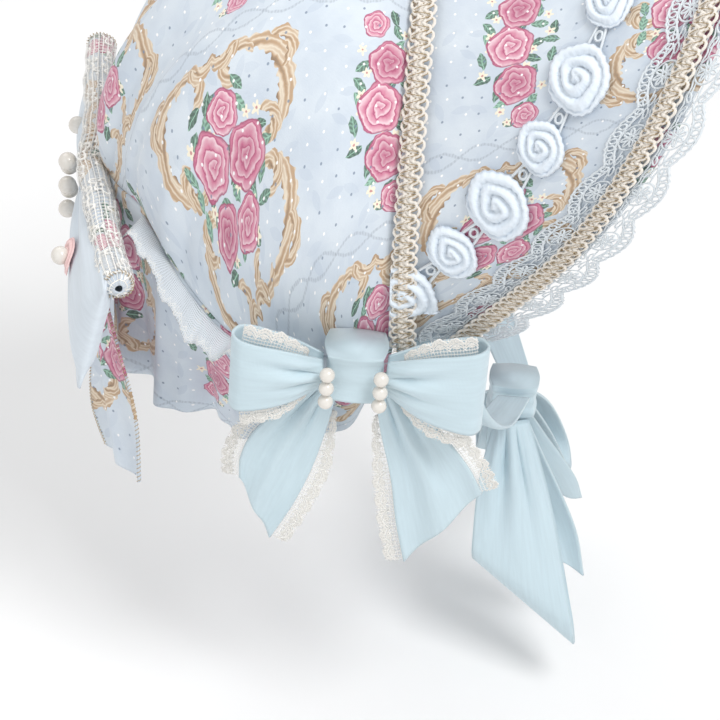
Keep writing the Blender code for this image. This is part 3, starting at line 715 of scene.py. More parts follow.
class Graph:
    """Short way to wire shader nodes: its calls return output sockets."""

    def __init__(self, tree):
        self.tree = tree

    def node(self, kind, inputs=(), **settings):
        made = self.tree.nodes.new(kind)
        for name, value in settings.items():
            setattr(made, name, value)
        for key, value in dict(inputs).items():
            if isinstance(value, bpy.types.NodeSocket):
                self.tree.links.new(value, made.inputs[key])
            else:
                made.inputs[key].default_value = value
        return made

    def math(self, operation, *values):
        return self.node("ShaderNodeMath", enumerate(values), operation=operation).outputs[0]

    def vector(self, operation, *values, output=0):
        made = self.node("ShaderNodeVectorMath", enumerate(values), operation=operation)
        return made.outputs[output]

    def scaled(self, vector, scale):
        return self.node(
            "ShaderNodeVectorMath", {0: vector, "Scale": scale}, operation="SCALE"
        ).outputs[0]

    def mix(self, factor, a, b):
        return self.node("ShaderNodeMix", {0: factor, 6: a, 7: b}, data_type="RGBA").outputs[2]

    def mix_value(self, factor, a, b):
        return self.node("ShaderNodeMix", {0: factor, 2: a, 3: b}, data_type="FLOAT").outputs[0]

    def mix_vector(self, factor, a, b):
        return self.node("ShaderNodeMix", {0: factor, 4: a, 5: b}, data_type="VECTOR").outputs[1]

    def parts(self, vector):
        return self.node("ShaderNodeSeparateXYZ", {0: vector}).outputs

    def joined(self, x, y, z=0.0):
        return self.node("ShaderNodeCombineXYZ", {0: x, 1: y, 2: z}).outputs[0]

    def noise(self, vector, scale, detail=2.0, output="Fac"):
        settings = {"Vector": vector, "Scale": scale, "Detail": detail}
        return self.node("ShaderNodeTexNoise", settings).outputs[output]

    def cells(self, vector, scale, randomness):
        return self.node(
            "ShaderNodeTexVoronoi",
            {"Vector": vector, "Scale": scale, "Randomness": randomness},
            voronoi_dimensions="2D",
        ).outputs

    def ramp(self, value, *stops):
        made = self.node("ShaderNodeValToRGB", {0: value})
        ramp = made.color_ramp
        while len(ramp.elements) < len(stops):
            ramp.elements.new(0.5)
        for element, (place, colour) in zip(ramp.elements, stops):
            element.position = place
            element.color = colour if len(colour) == 4 else (*colour, 1)
        return made.outputs[0]

    def fading(self, value, full, gone):
        """1 where the value is at full, 0 where it is at gone, and a straight slope between."""
        made = self.node(
            "ShaderNodeMapRange", {0: value, 1: full, 2: gone, 3: 1.0, 4: 0.0}, clamp=True
        )
        return made.outputs[0]


def rgba(colour):
    return (*colour, 1.0)


def shader_of(material):
    return material.node_tree.nodes["Principled BSDF"]


def feed(material, **sockets):
    """Wire these outputs to the material's own shader."""
    for key, socket in sockets.items():
        material.node_tree.links.new(socket, shader_of(material).inputs[key.replace("_", " ")])


def new_material(name, **sockets):
    """Material with its even values set on the shader itself."""
    material = bpy.data.materials.new(name)
    material.use_nodes = True
    for key, value in sockets.items():
        shader_of(material).inputs[key.replace("_", " ")].default_value = value
    return material


def printed_roses(g, point, colours):
    """Mask and colour of the roses of one repeat."""
    best, local, tone = 9.0, (0.0, 0.0, 0.0), 0.0
    for row in PRINT_ROSES:
        grow = 1 / row.size
        here = g.vector(
            "MULTIPLY_ADD", point, (grow, grow, 0.0), (-row.x * grow, -row.y * grow, 0.0)
        )
        away = g.vector("LENGTH", here, output=1)
        nearer = g.math("LESS_THAN", away, best)
        local = g.mix_vector(nearer, local, here)
        tone = g.mix_value(nearer, tone, row.tone)
        best = g.math("MINIMUM", away, best)
    x, y, _ = g.parts(local)
    angle = g.math("ARCTAN2", y, x)
    lobes = g.math("COSINE", g.math("MULTIPLY_ADD", angle, 5.0, g.math("MULTIPLY", tone, 9.0)))
    radius = g.math("MULTIPLY", best, g.math("MULTIPLY_ADD", lobes, 0.06, 1.0))
    petals = g.math("COSINE", g.math("MULTIPLY_ADD", angle, 3.0, g.math("MULTIPLY", radius, 7.0)))
    turns = g.math("MULTIPLY_ADD", radius, 3.3, g.math("MULTIPLY", angle, -1 / (2 * math.pi)))
    wander = g.noise(g.scaled(local, 1.0), 2.4)
    turns = g.math("ADD", turns, g.math("MULTIPLY_ADD", petals, 0.16, wander))
    place = g.math("FRACT", turns)
    petal = g.ramp(
        place,
        (0.00, colours.rose_deep),
        (0.16, colours.rose_mid),
        (0.62, tuple(0.5 * (a + b) for a, b in zip(colours.rose_mid, colours.rose_pale))),
        (0.86, colours.rose_pale),
        (0.97, colours.rose_mid),
    )
    deepen = g.math("MULTIPLY", tone, g.fading(radius, 0.15, 1.2))
    petal = g.mix(g.math("MULTIPLY", deepen, 0.75), petal, rgba(colours.rose_deep))
    rim = g.fading(radius, 0.98, 0.90)
    petal = g.mix(rim, petal, rgba(colours.rose_deep))
    return g.fading(radius, 0.98, 1.02), petal


def near_clusters(g, centre):
    """1 where a small motif's centre lies among the roses."""
    best = 9.0
    for row in PRINT_CLUSTERS:
        grow = (1 / row.half_width, 1 / row.half_height, 0.0)
        shift = (-row.x / row.half_width, -row.y / row.half_height, 0.0)
        away = g.vector("LENGTH", g.vector("MULTIPLY_ADD", centre, grow, shift), output=1)
        best = g.math("MINIMUM", away, best)
    return g.math("LESS_THAN", best, 1.0)


def turned_cell(g, point, size, randomness):
    """Local place in the nearest cell, turned by the cell's own angle, with its facts."""
    _, colour, centre = g.cells(point, 1 / size, randomness)[:3]
    red, green, _ = g.node("ShaderNodeSeparateColor", {0: colour}).outputs
    local = g.vector("SUBTRACT", point, centre)
    turned = g.node(
        "ShaderNodeVectorRotate",
        {"Vector": local, "Angle": g.math("MULTIPLY", red, 2 * math.pi)},
        rotation_type="Z_AXIS",
    ).outputs[0]
    return turned, centre, green


def printed_leaves(g, point, colours):
    """Mask and colour of the leaves and of the small cream flowers among the roses."""
    local, centre, chance = turned_cell(g, point, 7.4, 0.55)
    x, y, _ = g.parts(local)
    lens = g.math("MULTIPLY_ADD", g.math("MULTIPLY", x, x), -1.9 / 17.0, 1.9)
    side = g.math("ABSOLUTE", y)
    leaf = g.fading(g.math("SUBTRACT", side, lens), -0.15, 0.05)
    leaf = g.math("MULTIPLY", leaf, g.math("GREATER_THAN", lens, 0.0))
    leaf = g.math("MULTIPLY", leaf, near_clusters(g, centre))
    veins = g.math("SINE", g.math("MULTIPLY_ADD", x, 3.4, g.math("MULTIPLY", side, 3.0)))
    shade = g.math("MULTIPLY_ADD", veins, 0.18, g.math("MULTIPLY", chance, 0.5))
    pale = tuple(min(1, 1.9 * c) for c in colours.leaf)
    dark = tuple(0.45 * c for c in colours.leaf)
    leaf_colour = g.ramp(shade, (0.0, dark), (0.35, colours.leaf), (0.62, pale))
    leaf_colour = g.mix(g.fading(side, 0.12, 0.22), leaf_colour, rgba(pale))

    local, centre, chance = turned_cell(g, g.vector("ADD", point, (3.1, 5.7, 0)), 8.6, 0.6)
    x, y, _ = g.parts(local)
    away = g.vector("LENGTH", local, output=1)
    lobes = g.math("COSINE", g.math("MULTIPLY", g.math("ARCTAN2", y, x), 5.0))
    reach = g.math("MULTIPLY_ADD", lobes, 0.55, 1.75)
    flower = g.math("LESS_THAN", away, reach)
    flower = g.math("MULTIPLY", flower, g.math("GREATER_THAN", chance, 0.35))
    centre = g.vector("SUBTRACT", centre, (3.1, 5.7, 0))
    flower = g.math("MULTIPLY", flower, near_clusters(g, centre))
    heart = tuple(0.55 * a + 0.45 * b for a, b in zip(colours.gilt, colours.rose_mid))
    flower_colour = g.ramp(away, (0.0, heart), (0.42, heart), (0.60, colours.cream))
    return leaf, leaf_colour, flower, flower_colour


def printed_scrolls(g, point, colours):
    """Mask and colour of the gilt frame, folded out of one quarter."""
    local = g.vector("ADD", point, (-PRINT_CLUSTERS[0].x, 0.0, 0.0))
    folded = g.vector("ABSOLUTE", local)
    mask, shade = 0.0, 0.0
    for row in PRINT_SCROLLS:
        start, end = math.radians(row.start), math.radians(row.end)
        middle, half = (start + end) / 2, (end - start) / 2
        x, y, _ = g.parts(g.vector("ADD", folded, (-row.x, -row.y, 0.0)))
        c, s = math.cos(-middle), math.sin(-middle)
        across = g.math("MULTIPLY_ADD", x, s, g.math("MULTIPLY", y, c))
        ahead = g.math("MULTIPLY_ADD", x, c, g.math("MULTIPLY", y, -s))
        angle = g.math("ARCTAN2", across, ahead)
        away = g.vector("LENGTH", g.joined(x, y), output=1)
        along = g.math("DIVIDE", angle, half)
        taper = g.math("SUBTRACT", 1.0, g.math("MULTIPLY", along, along))
        taper = g.math("POWER", g.math("MAXIMUM", taper, 0.0), 0.55)
        barbs = g.math("SINE", g.math("MULTIPLY", angle, row.radius * 1.5))
        wide = g.math("MULTIPLY", taper, g.math("MULTIPLY_ADD", barbs, 0.16, 1.0))
        offset = g.math("DIVIDE", g.math("SUBTRACT", away, row.radius), row.width)
        here = g.math("LESS_THAN", g.math("ABSOLUTE", offset), wide)
        mask = g.math("MAXIMUM", mask, here)
        veins = g.math("SINE", g.math("MULTIPLY_ADD", offset, 5.2, g.math("MULTIPLY", angle, 5.0)))
        tone = g.math("MULTIPLY_ADD", veins, 0.30, g.math("MULTIPLY_ADD", offset, 0.24, 0.52))
        shade = g.mix_value(here, shade, tone)
    dark = tuple(0.5 * c for c in colours.gilt)
    colour = g.ramp(
        shade, (0.0, dark), (0.28, colours.gilt), (0.62, colours.gilt_light), (0.9, colours.gilt)
    )
    return mask, colour


def print_group():
    """Floral print: roses in bunches, gilt scroll frames, chain lines and small dots."""
    colours = bpy.context.scene.bonnet_colours
    tree = bpy.data.node_groups.new("rose_print", "ShaderNodeTree")
    tree.interface.new_socket("Color", in_out="OUTPUT", socket_type="NodeSocketColor")
    g = Graph(tree)
    metres = g.node("ShaderNodeUVMap", uv_map="cloth").outputs[0]
    flat = g.scaled(metres, 1000.0)
    shake = g.noise(flat, 0.35, 1.0, "Color")
    flat_warped = g.vector("MULTIPLY_ADD", shake, (1.6, 1.6, 0.0), flat)
    px, py, _ = g.parts(flat_warped)
    half_width, half_height = REPEAT_WIDTH / 2, REPEAT_HEIGHT / 2
    row = g.math("FLOOR", g.math("DIVIDE", g.math("ADD", py, half_height), REPEAT_HEIGHT))
    shift = g.math("MULTIPLY", g.math("FLOORED_MODULO", row, 2.0), half_width)
    x = g.math("WRAP", g.math("ADD", px, shift), half_width, -half_width)
    y = g.math("WRAP", py, half_height, -half_height)
    point = g.joined(x, y)

    mottle = g.noise(flat, 0.045, 4.0)
    ground = g.mix(g.fading(mottle, 0.62, 0.38), rgba(colours.ground), rgba(colours.shadow))
    ground = g.mix(0.42, ground, rgba(colours.ground))
    local, _, chance = turned_cell(g, flat, 11.0, 0.8)
    lx, ly, _ = g.parts(local)
    blade = g.math("MULTIPLY_ADD", g.math("MULTIPLY", lx, lx), -0.085, 1.7)
    blade = g.math("LESS_THAN", g.math("ABSOLUTE", ly), blade)
    faint = g.math("MULTIPLY", blade, g.math("MULTIPLY_ADD", chance, 0.5, 0.05))
    ground = g.mix(faint, ground, rgba(colours.shadow))
    lines = g.math("WRAP", g.math("ADD", py, half_height), half_height, -half_height)
    swing = g.math("MULTIPLY", g.math("SINE", g.math("MULTIPLY", px, 2 * math.pi / 34)), 3.3)
    beads = g.math("MULTIPLY_ADD", g.math("SINE", g.math("MULTIPLY", px, 4.6)), 0.16, 0.36)
    for sign in (1.0, -1.0):
        away = g.math("ABSOLUTE", g.math("MULTIPLY_ADD", swing, sign, lines))
        chain = g.math("MULTIPLY", g.fading(away, 0.35, 0.85), beads)
        ground = g.mix(chain, ground, rgba(tuple(0.62 * c for c in colours.shadow)))

    scroll, scroll_colour = printed_scrolls(g, point, colours)
    leaf, leaf_colour, flower, flower_colour = printed_leaves(g, point, colours)
    rose, rose_colour = printed_roses(g, point, colours)
    colour = g.mix(scroll, ground, scroll_colour)
    colour = g.mix(leaf, colour, leaf_colour)
    colour = g.mix(flower, colour, flower_colour)
    colour = g.mix(rose, colour, rose_colour)
    spots = g.cells(flat, 1 / SPOT_STEP, 0.35)
    spot = g.fading(spots[0], 0.42 / SPOT_STEP, 0.62 / SPOT_STEP)
    pick = g.node("ShaderNodeSeparateColor", {0: spots[1]}).outputs[0]
    dark_spot = g.math("MULTIPLY", spot, g.math("LESS_THAN", pick, 0.38))
    colour = g.mix(g.math("MULTIPLY", dark_spot, 0.8), colour, rgba(linear(120, 138, 160)))
    light_spot = g.math("MULTIPLY", spot, g.math("GREATER_THAN", pick, 0.38))
    colour = g.mix(light_spot, colour, (1.0, 1.0, 1.0, 1.0))
    end = g.node("NodeGroupOutput")
    tree.links.new(colour, end.inputs[0])
    return tree


def weave_bump(g, coordinates, pitch, strength, distance):
    """Normal of a plain weave with slubs, on these coordinates in metres."""
    x, y, _ = g.parts(g.scaled(coordinates, 2 * math.pi / pitch))
    threads = g.math("ADD", g.math("SINE", x), g.math("SINE", y))
    slubs = g.noise(coordinates, 900.0, 3.0)
    height = g.math("MULTIPLY_ADD", threads, 0.25, slubs)
    bump = g.node(
        "ShaderNodeBump", {"Strength": strength, "Distance": distance, "Height": height}
    )
    return bump.outputs[0]


def print_material():
    material = new_material("print_cotton_cloth", Roughness=0.82, Sheen_Weight=0.25)
    g = Graph(material.node_tree)
    group = g.node("ShaderNodeGroup", node_tree=print_group())
    cloth = g.node("ShaderNodeUVMap", uv_map="cloth").outputs[0]
    speckle = g.noise(cloth, 2600.0, 2.0)
    darker = g.mix(0.12, group.outputs[0], (0.55, 0.58, 0.66, 1))
    colour = g.mix(g.fading(speckle, 0.35, 0.62), group.outputs[0], darker)
    feed(material, Base_Color=colour)
    normal = weave_bump(g, cloth, 0.00045, 0.35, 0.0003)
    feed(material, Normal=normal)
    return material


def cloth_material(name, colour, roughness, sheen, weave, shade=0.94):
    """Plain woven cloth with a soft change of tone and a fine weave."""
    material = new_material(name, Roughness=roughness, Sheen_Weight=sheen, Sheen_Roughness=0.4)
    g = Graph(material.node_tree)
    cloth = g.node("ShaderNodeUVMap", uv_map="cloth").outputs[0]
    streaks = g.noise(g.vector("MULTIPLY", cloth, (60.0, 500.0, 1.0)), 1.0, 3.0)
    deep = tuple(shade * c for c in colour)
    tone = g.mix(g.fading(streaks, 0.30, 0.70), rgba(deep), rgba(colour))
    feed(material, Base_Color=tone)
    normal = weave_bump(g, cloth, weave, 0.3, 0.0002)
    feed(material, Normal=normal)
    return material


def thread_material(name, colour, shade, roughness, metallic=0.0, twist=1400.0, sheen=0.2):
    """Twisted thread, with painted shade darkening the grooves between its turns."""
    material = new_material(name, Roughness=roughness, Metallic=metallic, Sheen_Weight=sheen)
    g = Graph(material.node_tree)
    place = g.node("ShaderNodeTexCoord").outputs["Object"]
    turns = g.node(
        "ShaderNodeTexWave",
        {"Vector": place, "Scale": twist, "Distortion": 6.0, "Detail": 2.0, "Detail Scale": 1.0},
        bands_direction="DIAGONAL",
    ).outputs["Fac"]
    # The shade colour is painted shade in the grooves between the turns, laid in along the twist
    # bands.
    tone = g.mix(turns, rgba(shade), rgba(colour))
    feed(material, Base_Color=tone)
    bump = g.node("ShaderNodeBump", {"Strength": 0.5, "Distance": 0.0002, "Height": turns})
    feed(material, Normal=bump.outputs[0])
    return material


def net_material(name, colour, cell, fill, motif=0.0):
    """Hexagonal net, see-through between its threads, with worked flowers where asked."""
    material = new_material(name, Roughness=0.75, Sheen_Weight=0.2)
    g = Graph(material.node_tree)
    cloth = g.node("ShaderNodeUVMap", uv_map="cloth").outputs[0]
    skewed = g.vector("MULTIPLY", cloth, (1.0, 0.87, 0.0))
    web = g.node(
        "ShaderNodeTexVoronoi",
        {"Vector": skewed, "Scale": 1 / cell, "Randomness": 0.12},
        voronoi_dimensions="2D",
        feature="DISTANCE_TO_EDGE",
    ).outputs["Distance"]
    thread = g.fading(web, fill * 0.7, fill * 1.3)
    if motif:
        local, _, _ = turned_cell(g, g.scaled(cloth, 1000.0), motif, 0.6)
        x, y, _ = g.parts(local)
        away = g.vector("LENGTH", local, output=1)
        lobes = g.math("COSINE", g.math("MULTIPLY", g.math("ARCTAN2", y, x), 5.0))
        petal = g.math("MULTIPLY", g.math("MULTIPLY_ADD", lobes, 0.10, 0.30), motif)
        line = g.math("ABSOLUTE", g.math("SUBTRACT", away, petal))
        worked = g.math("MAXIMUM", g.fading(line, 0.45, 0.75), g.fading(away, 0.9, 1.2))
        thread = g.math("MAXIMUM", thread, worked)
    speckle = g.noise(cloth, 1800.0, 2.0)
    deep = tuple(0.84 * c for c in colour)
    tone = g.mix(speckle, rgba(deep), rgba(colour))
    feed(material, Base_Color=tone, Alpha=thread)
    return material


def relief_material(name, colour, groove_shade, stitch):
    """Satin stitch: pale ridges, grooves darkened with painted shade, and fine stitches across
    them.
    """
    material = new_material(name, Roughness=0.6, Sheen_Weight=0.4, Sheen_Roughness=0.35)
    g = Graph(material.node_tree)
    relief = g.node("ShaderNodeAttribute", attribute_name="relief").outputs["Fac"]
    cloth = g.node("ShaderNodeUVMap", uv_map="cloth").outputs[0]
    x, _, _ = g.parts(cloth)
    ribs = g.math("SINE", g.math("MULTIPLY", x, 2 * math.pi / stitch))
    height = g.math("MULTIPLY_ADD", ribs, 0.25, g.noise(cloth, 1500.0, 2.0))
    # Low relief takes the groove colour: painted shade in the grooves between the raised petals.
    tone = g.ramp(relief, (0.05, groove_shade), (0.45, colour))
    feed(material, Base_Color=tone)
    bump = g.node("ShaderNodeBump", {"Strength": 0.4, "Distance": 0.0003, "Height": height})
    feed(material, Normal=bump.outputs[0])
    return material


def pearl_material(colour):
    material = new_material(
        "pearl_bead", Roughness=0.22, Coat_Weight=0.6, Coat_Roughness=0.12, Specular_IOR_Level=0.6
    )
    g = Graph(material.node_tree)
    place = g.node("ShaderNodeTexCoord").outputs["Object"]
    cloud = g.noise(place, 240.0, 2.0)
    # The pearl's rims, as the camera sees them, turn warmer and darker: painted lustre.
    painted_lustre = g.node("ShaderNodeLayerWeight", {"Blend": 0.35}).outputs["Facing"]
    painted_rim_tone = tuple(c * f for c, f in zip(colour, (0.90, 0.84, 0.78)))
    tone = g.mix(painted_lustre, rgba(colour), rgba(painted_rim_tone))
    tone = g.mix(g.math("MULTIPLY", cloud, 0.25), tone, (0.93, 0.95, 1.0, 1.0))
    feed(material, Base_Color=tone)
    return material


FINISHES = {}


def finish(name):
    """Material by its name here, made when it is first asked for."""
    if name in FINISHES:
        return FINISHES[name]
    colours = bpy.context.scene.bonnet_colours
    trims = bpy.context.scene.bonnet_trims
    makers = {
        "print": print_material,
        "plain": lambda: cloth_material("plain_cotton", colours.ground, 0.8, 0.25, 0.0006, 0.93),
        "ribbon": lambda: cloth_material("chiffon_ribbon", colours.ribbon, 0.62, 0.35, 0.0005),
        "ivory_net": lambda: net_material("ivory_net", colours.ivory, trims.net, 0.065),
        "wide_net": lambda: net_material("wide_net", colours.ivory, 0.0021, 0.085, 15.0),
        "grey_net": lambda: net_material("nape_net", linear(224, 230, 236), 0.0009, 0.30),
        # The darker second colour of each thread is painted shade between its turns.
        "ivory_thread": lambda: thread_material(
            "ivory_thread", colours.ivory, tuple(0.90 * c for c in colours.ivory), 0.7
        ),
        "lace_thread": lambda: thread_material(
            "guipure_thread", colours.lace, tuple(0.86 * c for c in colours.lace), 0.65
        ),
        "braid_yarn": lambda: thread_material(
            "braid_yarn", colours.braid, tuple(0.84 * c for c in colours.braid), 0.6
        ),
        "gold_thread": lambda: thread_material(
            "gold_thread", colours.gold, tuple(0.5 * c for c in colours.gold), 0.4, 0.6, 2200.0
        ),
        # The second colour of the lace roses and the rosettes is painted shade in their grooves;
        # on the lace roses its bluish grey also gives the net seen between the petals.
        "rose_lace": lambda: relief_material(
            "rose_lace", colours.rose_lace, linear(160, 182, 206), 0.0006
        ),
        "rosette": lambda: relief_material(
            "rosette", colours.rosette, linear(206, 140, 146), 0.0008
        ),
        "pearl": lambda: pearl_material(colours.pearl),
    }
    FINISHES[name] = makers[name]()
    return FINISHES[name]


def positions(mesh):
    values = np.empty(len(mesh.vertices) * 3)
    mesh.vertices.foreach_get("co", values)
    return values.reshape(-1, 3)


def move_to(mesh, points):
    mesh.vertices.foreach_set("co", np.ascontiguousarray(points, float).ravel())
    mesh.update()


def give_uv(mesh, flat):
    """The cloth's own coordinates, in metres, for each vertex."""
    corners = np.empty(len(mesh.loops), dtype=np.int32)
    mesh.loops.foreach_get("vertex_index", corners)
    layer = mesh.uv_layers.new(name="cloth")
    layer.data.foreach_set("uv", np.asarray(flat, float)[corners].ravel())


def finished(name, mesh, look, stands_for=()):
    """Object of a finished mesh, which rides on the bonnet and stands for its solids."""
    mesh.shade_smooth()
    mesh.materials.clear()
    mesh.materials.append(finish(look))
    piece = bpy.data.objects.new(name, mesh)
    bpy.context.scene.collection.objects.link(piece)
    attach(piece, "root")
    if stands_for:
        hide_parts(*stands_for)
    return piece


def grid_mesh(name, place, grid, flat=None):
    """Grid laid on place(u, v), with u and v from 0 to 1."""
    shape = bmesh.new()
    bmesh.ops.create_grid(shape, x_segments=grid[0], y_segments=grid[1], size=0.5)
    mesh = bpy.data.meshes.new(name)
    shape.to_mesh(mesh)
    shape.free()
    share = positions(mesh)[:, :2] + 0.5
    u, v = np.clip(share[:, 0], 0, 1), np.clip(share[:, 1], 0, 1)
    move_to(mesh, place(u, v))
    if flat is not None:
        give_uv(mesh, flat(u, v))
    return mesh


def measured(place, steps=60):
    """Longest way along each side of a sheet, and its area."""
    share = np.linspace(0, 1, steps + 1)
    u, v = np.meshgrid(share, share, indexing="ij")
    points = place(u, v)
    along, across = np.diff(points, axis=0), np.diff(points, axis=1)
    width = np.linalg.norm(along, axis=-1).sum(axis=0).max()
    length = np.linalg.norm(across, axis=-1).sum(axis=1).max()
    area = np.linalg.norm(np.cross(along[:, :-1], across[:-1]), axis=-1).sum()
    return width, length, area


def add_cloth(name, place, grid, wall, look, stands_for=(), flat=None):
    """Sheet of cloth with a wall round it, whose cloth coordinates run by default over its
    measured size.
    """
    width, length, area = measured(place)
    if flat is None:
        def flat(u, v):
            return np.stack((u * width, v * length), axis=-1)

    piece = finished(name, grid_mesh(name, place, grid, flat), look, stands_for)
    thicken = piece.modifiers.new("wall", "SOLIDIFY")
    thicken.thickness = wall
    thicken.offset = 0
    return piece


def ring(x, y, radius_x, radius_y, turn=0.0, lift=0.0, steps=8):
    """Closed loop of thread in the flat."""
    angle = np.linspace(0, 2 * math.pi, steps, endpoint=False)
    a, b = radius_x * np.cos(angle), radius_y * np.sin(angle)
    c, s = math.cos(turn), math.sin(turn)
    return vec(x + a * c - b * s, y + a * s + b * c, lift)


def thread_mesh(name, strands, roundness=0):
    """Mesh of many threads: each is its points, whether it closes, and its radius."""
    curve = bpy.data.curves.new(name, "CURVE")
    curve.dimensions = "3D"
    curve.bevel_depth = 1.0
    curve.bevel_resolution = roundness
    curve.use_fill_caps = True
    for points, closed, radius in strands:
        spline = curve.splines.new("POLY")
        spline.points.add(len(points) - 1)
        spline.points.foreach_set("co", np.column_stack((points, np.ones(len(points)))).ravel())
        spline.points.foreach_set("radius", np.full(len(points), radius))
        spline.use_cyclic_u = closed
    tube = bpy.data.objects.new(name, curve)
    mesh = bpy.data.meshes.new_from_object(tube)
    bpy.data.objects.remove(tube)
    bpy.data.curves.remove(curve)
    mesh.name = name
    return mesh


def repeated(mesh, count, pitch):
    """The mesh in a row of copies along X."""
    holder = bpy.data.objects.new(mesh.name, mesh)
    bpy.context.scene.collection.objects.link(holder)
    row = holder.modifiers.new("row", "ARRAY")
    row.use_relative_offset = False
    row.use_constant_offset = True
    row.constant_offset_displace = (pitch, 0, 0)
    row.count = count
    deps = bpy.context.evaluated_depsgraph_get()
    result = bpy.data.meshes.new_from_object(holder.evaluated_get(deps), depsgraph=deps)
    result.name = mesh.name
    bpy.data.objects.remove(holder)
    bpy.data.meshes.remove(mesh)
    return result


def mended(mesh, weld=False, close=False):
    """The mesh with its faces turned outwards, and welded or closed first where asked."""
    shape = bmesh.new()
    shape.from_mesh(mesh)
    if weld:
        bmesh.ops.remove_doubles(shape, verts=shape.verts, dist=WELD)
    if close:
        rims = [edge for edge in shape.edges if edge.is_boundary]
        bmesh.ops.holes_fill(shape, edges=rims, sides=0)
    bmesh.ops.recalc_face_normals(shape, faces=shape.faces)
    shape.to_mesh(mesh)
    shape.free()
    return mesh


def bent(mesh, place):
    """The flat mesh laid on place(x, y, z), with its faces turned outwards again."""
    flat = positions(mesh)
    move_to(mesh, place(flat[:, 0], flat[:, 1], flat[:, 2]))
    return mended(mesh)


def even_path(path, steps=600):
    """Length of a path, and the share of it that lies at each distance along it."""
    share = np.linspace(0, 1, steps + 1)
    lengths = np.linalg.norm(np.diff(path(share), axis=0), axis=-1)
    gone = np.concatenate(((0,), np.cumsum(lengths)))
    return gone[-1], lambda x: np.interp(x, gone, share)


def scallop_strands(pitch, thread, steps):
    """Threads of one guipure scallop, from the braid (y = 0) to its tip."""
    strands = []
    x = np.linspace(0, pitch, 21)

    def rim(inset, wave=0.0):
        y = LACE_REACH - SCALLOP_DEPTH * (1 - np.abs(np.sin(math.pi * x / pitch))) - inset
        return vec(x, y + wave * np.sin(11 * 2 * math.pi * x / pitch), 0)

    strands.append((rim(0.0006, 0.0004), False, thread * 1.35))
    strands.append((rim(0.0050), False, thread * 1.1))
    for place in np.linspace(0.07, 0.93, 8):
        at = place * pitch
        reach = LACE_REACH - SCALLOP_DEPTH * (1 - math.sin(math.pi * place))
        strands.append((ring(at, reach - 0.0029, 0.00125, 0.0017, steps=steps), True, thread))
    middle, centre = pitch / 2, LACE_REACH - 0.0108
    for petal in range(8):
        turn = 2 * math.pi * petal / 8 + math.pi / 8
        cx, cy = middle + 0.0029 * math.cos(turn), centre + 0.0029 * math.sin(turn)
        strands.append((ring(cx, cy, 0.0017, 0.00075, turn, 0.0003, steps), True, thread * 1.05))
    strands.append((ring(middle, centre, 0.0009, 0.0009, 0, 0.0004, steps), True, thread * 1.2))
    strands.append((ring(middle, centre, 0.0057, 0.0054, steps=20), True, thread * 0.9))
    for sign in (-1, 1):
        for place, lean in ((0.0066, 0.5), (0.0098, 0.15), (0.0128, -0.25)):
            cx = middle + sign * (pitch / 2 - 0.0028)
            strands.append(
                (ring(cx, place, 0.0023, 0.0010, sign * lean, 0, steps), True, thread * 0.95)
            )
    strands.append((vec(x, 0.0052 + 0.0004 * np.cos(8 * math.pi * x / pitch), 0), False, thread))
    strands.append((vec(x, 0.0030, 0), False, thread))
    for sign in (-1, 1):
        for dx, dy in ((0.0052, -0.0030), (0.0062, 0.0008), (0.0050, 0.0042)):
            ends = ((middle + sign * dx, centre + dy, 0), (middle + sign * 0.0105, centre + dy, 0))
            strands.append((np.array(ends), False, thread * 0.8))
    return strands


def braid_strands(pitch, yarn):
    """Yarns of one loop of the braid."""
    strands = []
    for sign in (-1, 1):
        shift = pitch * (0.25 if sign < 0 else 0.75)
        strands.append((ring(shift, sign * 0.0033, 0.0021, 0.0018, 0.5 * sign, 0, 10), True, yarn))
        strands.append(
            (ring(shift + pitch / 2, sign * 0.0024, 0.0017, 0.0015, -0.6, 0.0006, 9), True, yarn)
        )
    x = np.linspace(0, pitch, 13)
    turn = 2 * math.pi * x / pitch
    for phase in (0.0, 2.1, 4.2):
        y, z = 0.0017 * np.sin(turn + phase), 0.0007 + 0.0006 * np.cos(2 * turn + phase)
        strands.append((vec(x, y, z), False, yarn))
    return strands


def gilt_strands(pitch, radius):
    """Metal threads that wind over the braid."""
    x = np.linspace(0, pitch, 17)
    turn = 2 * math.pi * x / pitch
    return [
        (vec(x, 0.0040 * np.sin(turn), 0.0014 + 0.0004 * np.cos(2 * turn)), False, radius),
        (vec(x, 0.0046 * np.cos(turn), 0.0008 + 0.0003 * np.sin(3 * turn)), False, radius),
    ]


def add_braid(name, middle, place, stands_for):
    """Cream braid with metal threads along a line."""
    trims = bpy.context.scene.bonnet_trims
    length, share = even_path(middle)
    count = round(length / trims.braid_pitch)
    pitch = length / count

    def laid(x, y, z):
        return place(share(x), y, z)

    yarns = repeated(thread_mesh(name, braid_strands(pitch, trims.yarn), 1), count, pitch)
    body = finished(name, bent(yarns, laid), "braid_yarn", (stands_for,))
    gilt = repeated(
        thread_mesh(f"{name}_gilt", gilt_strands(pitch, trims.gold_thread)), count, pitch
    )
    finished(f"{name}_gilt", bent(gilt, laid), "gold_thread")
    return body


def rose_height(radius, angle):
    """Relief of a stitched rose: crescents of raised petals round a small heart."""
    turns = 2.9 * radius - angle / (2 * math.pi) + 0.10 * np.sin(3 * angle + 4 * radius)
    ridge = np.abs(np.sin(math.pi * turns)) ** 0.7
    heart = np.exp(-((radius / 0.16) ** 2))
    crown_of = np.clip(1.15 - 0.55 * radius, 0, 1)
    return np.maximum(ridge * crown_of, heart)


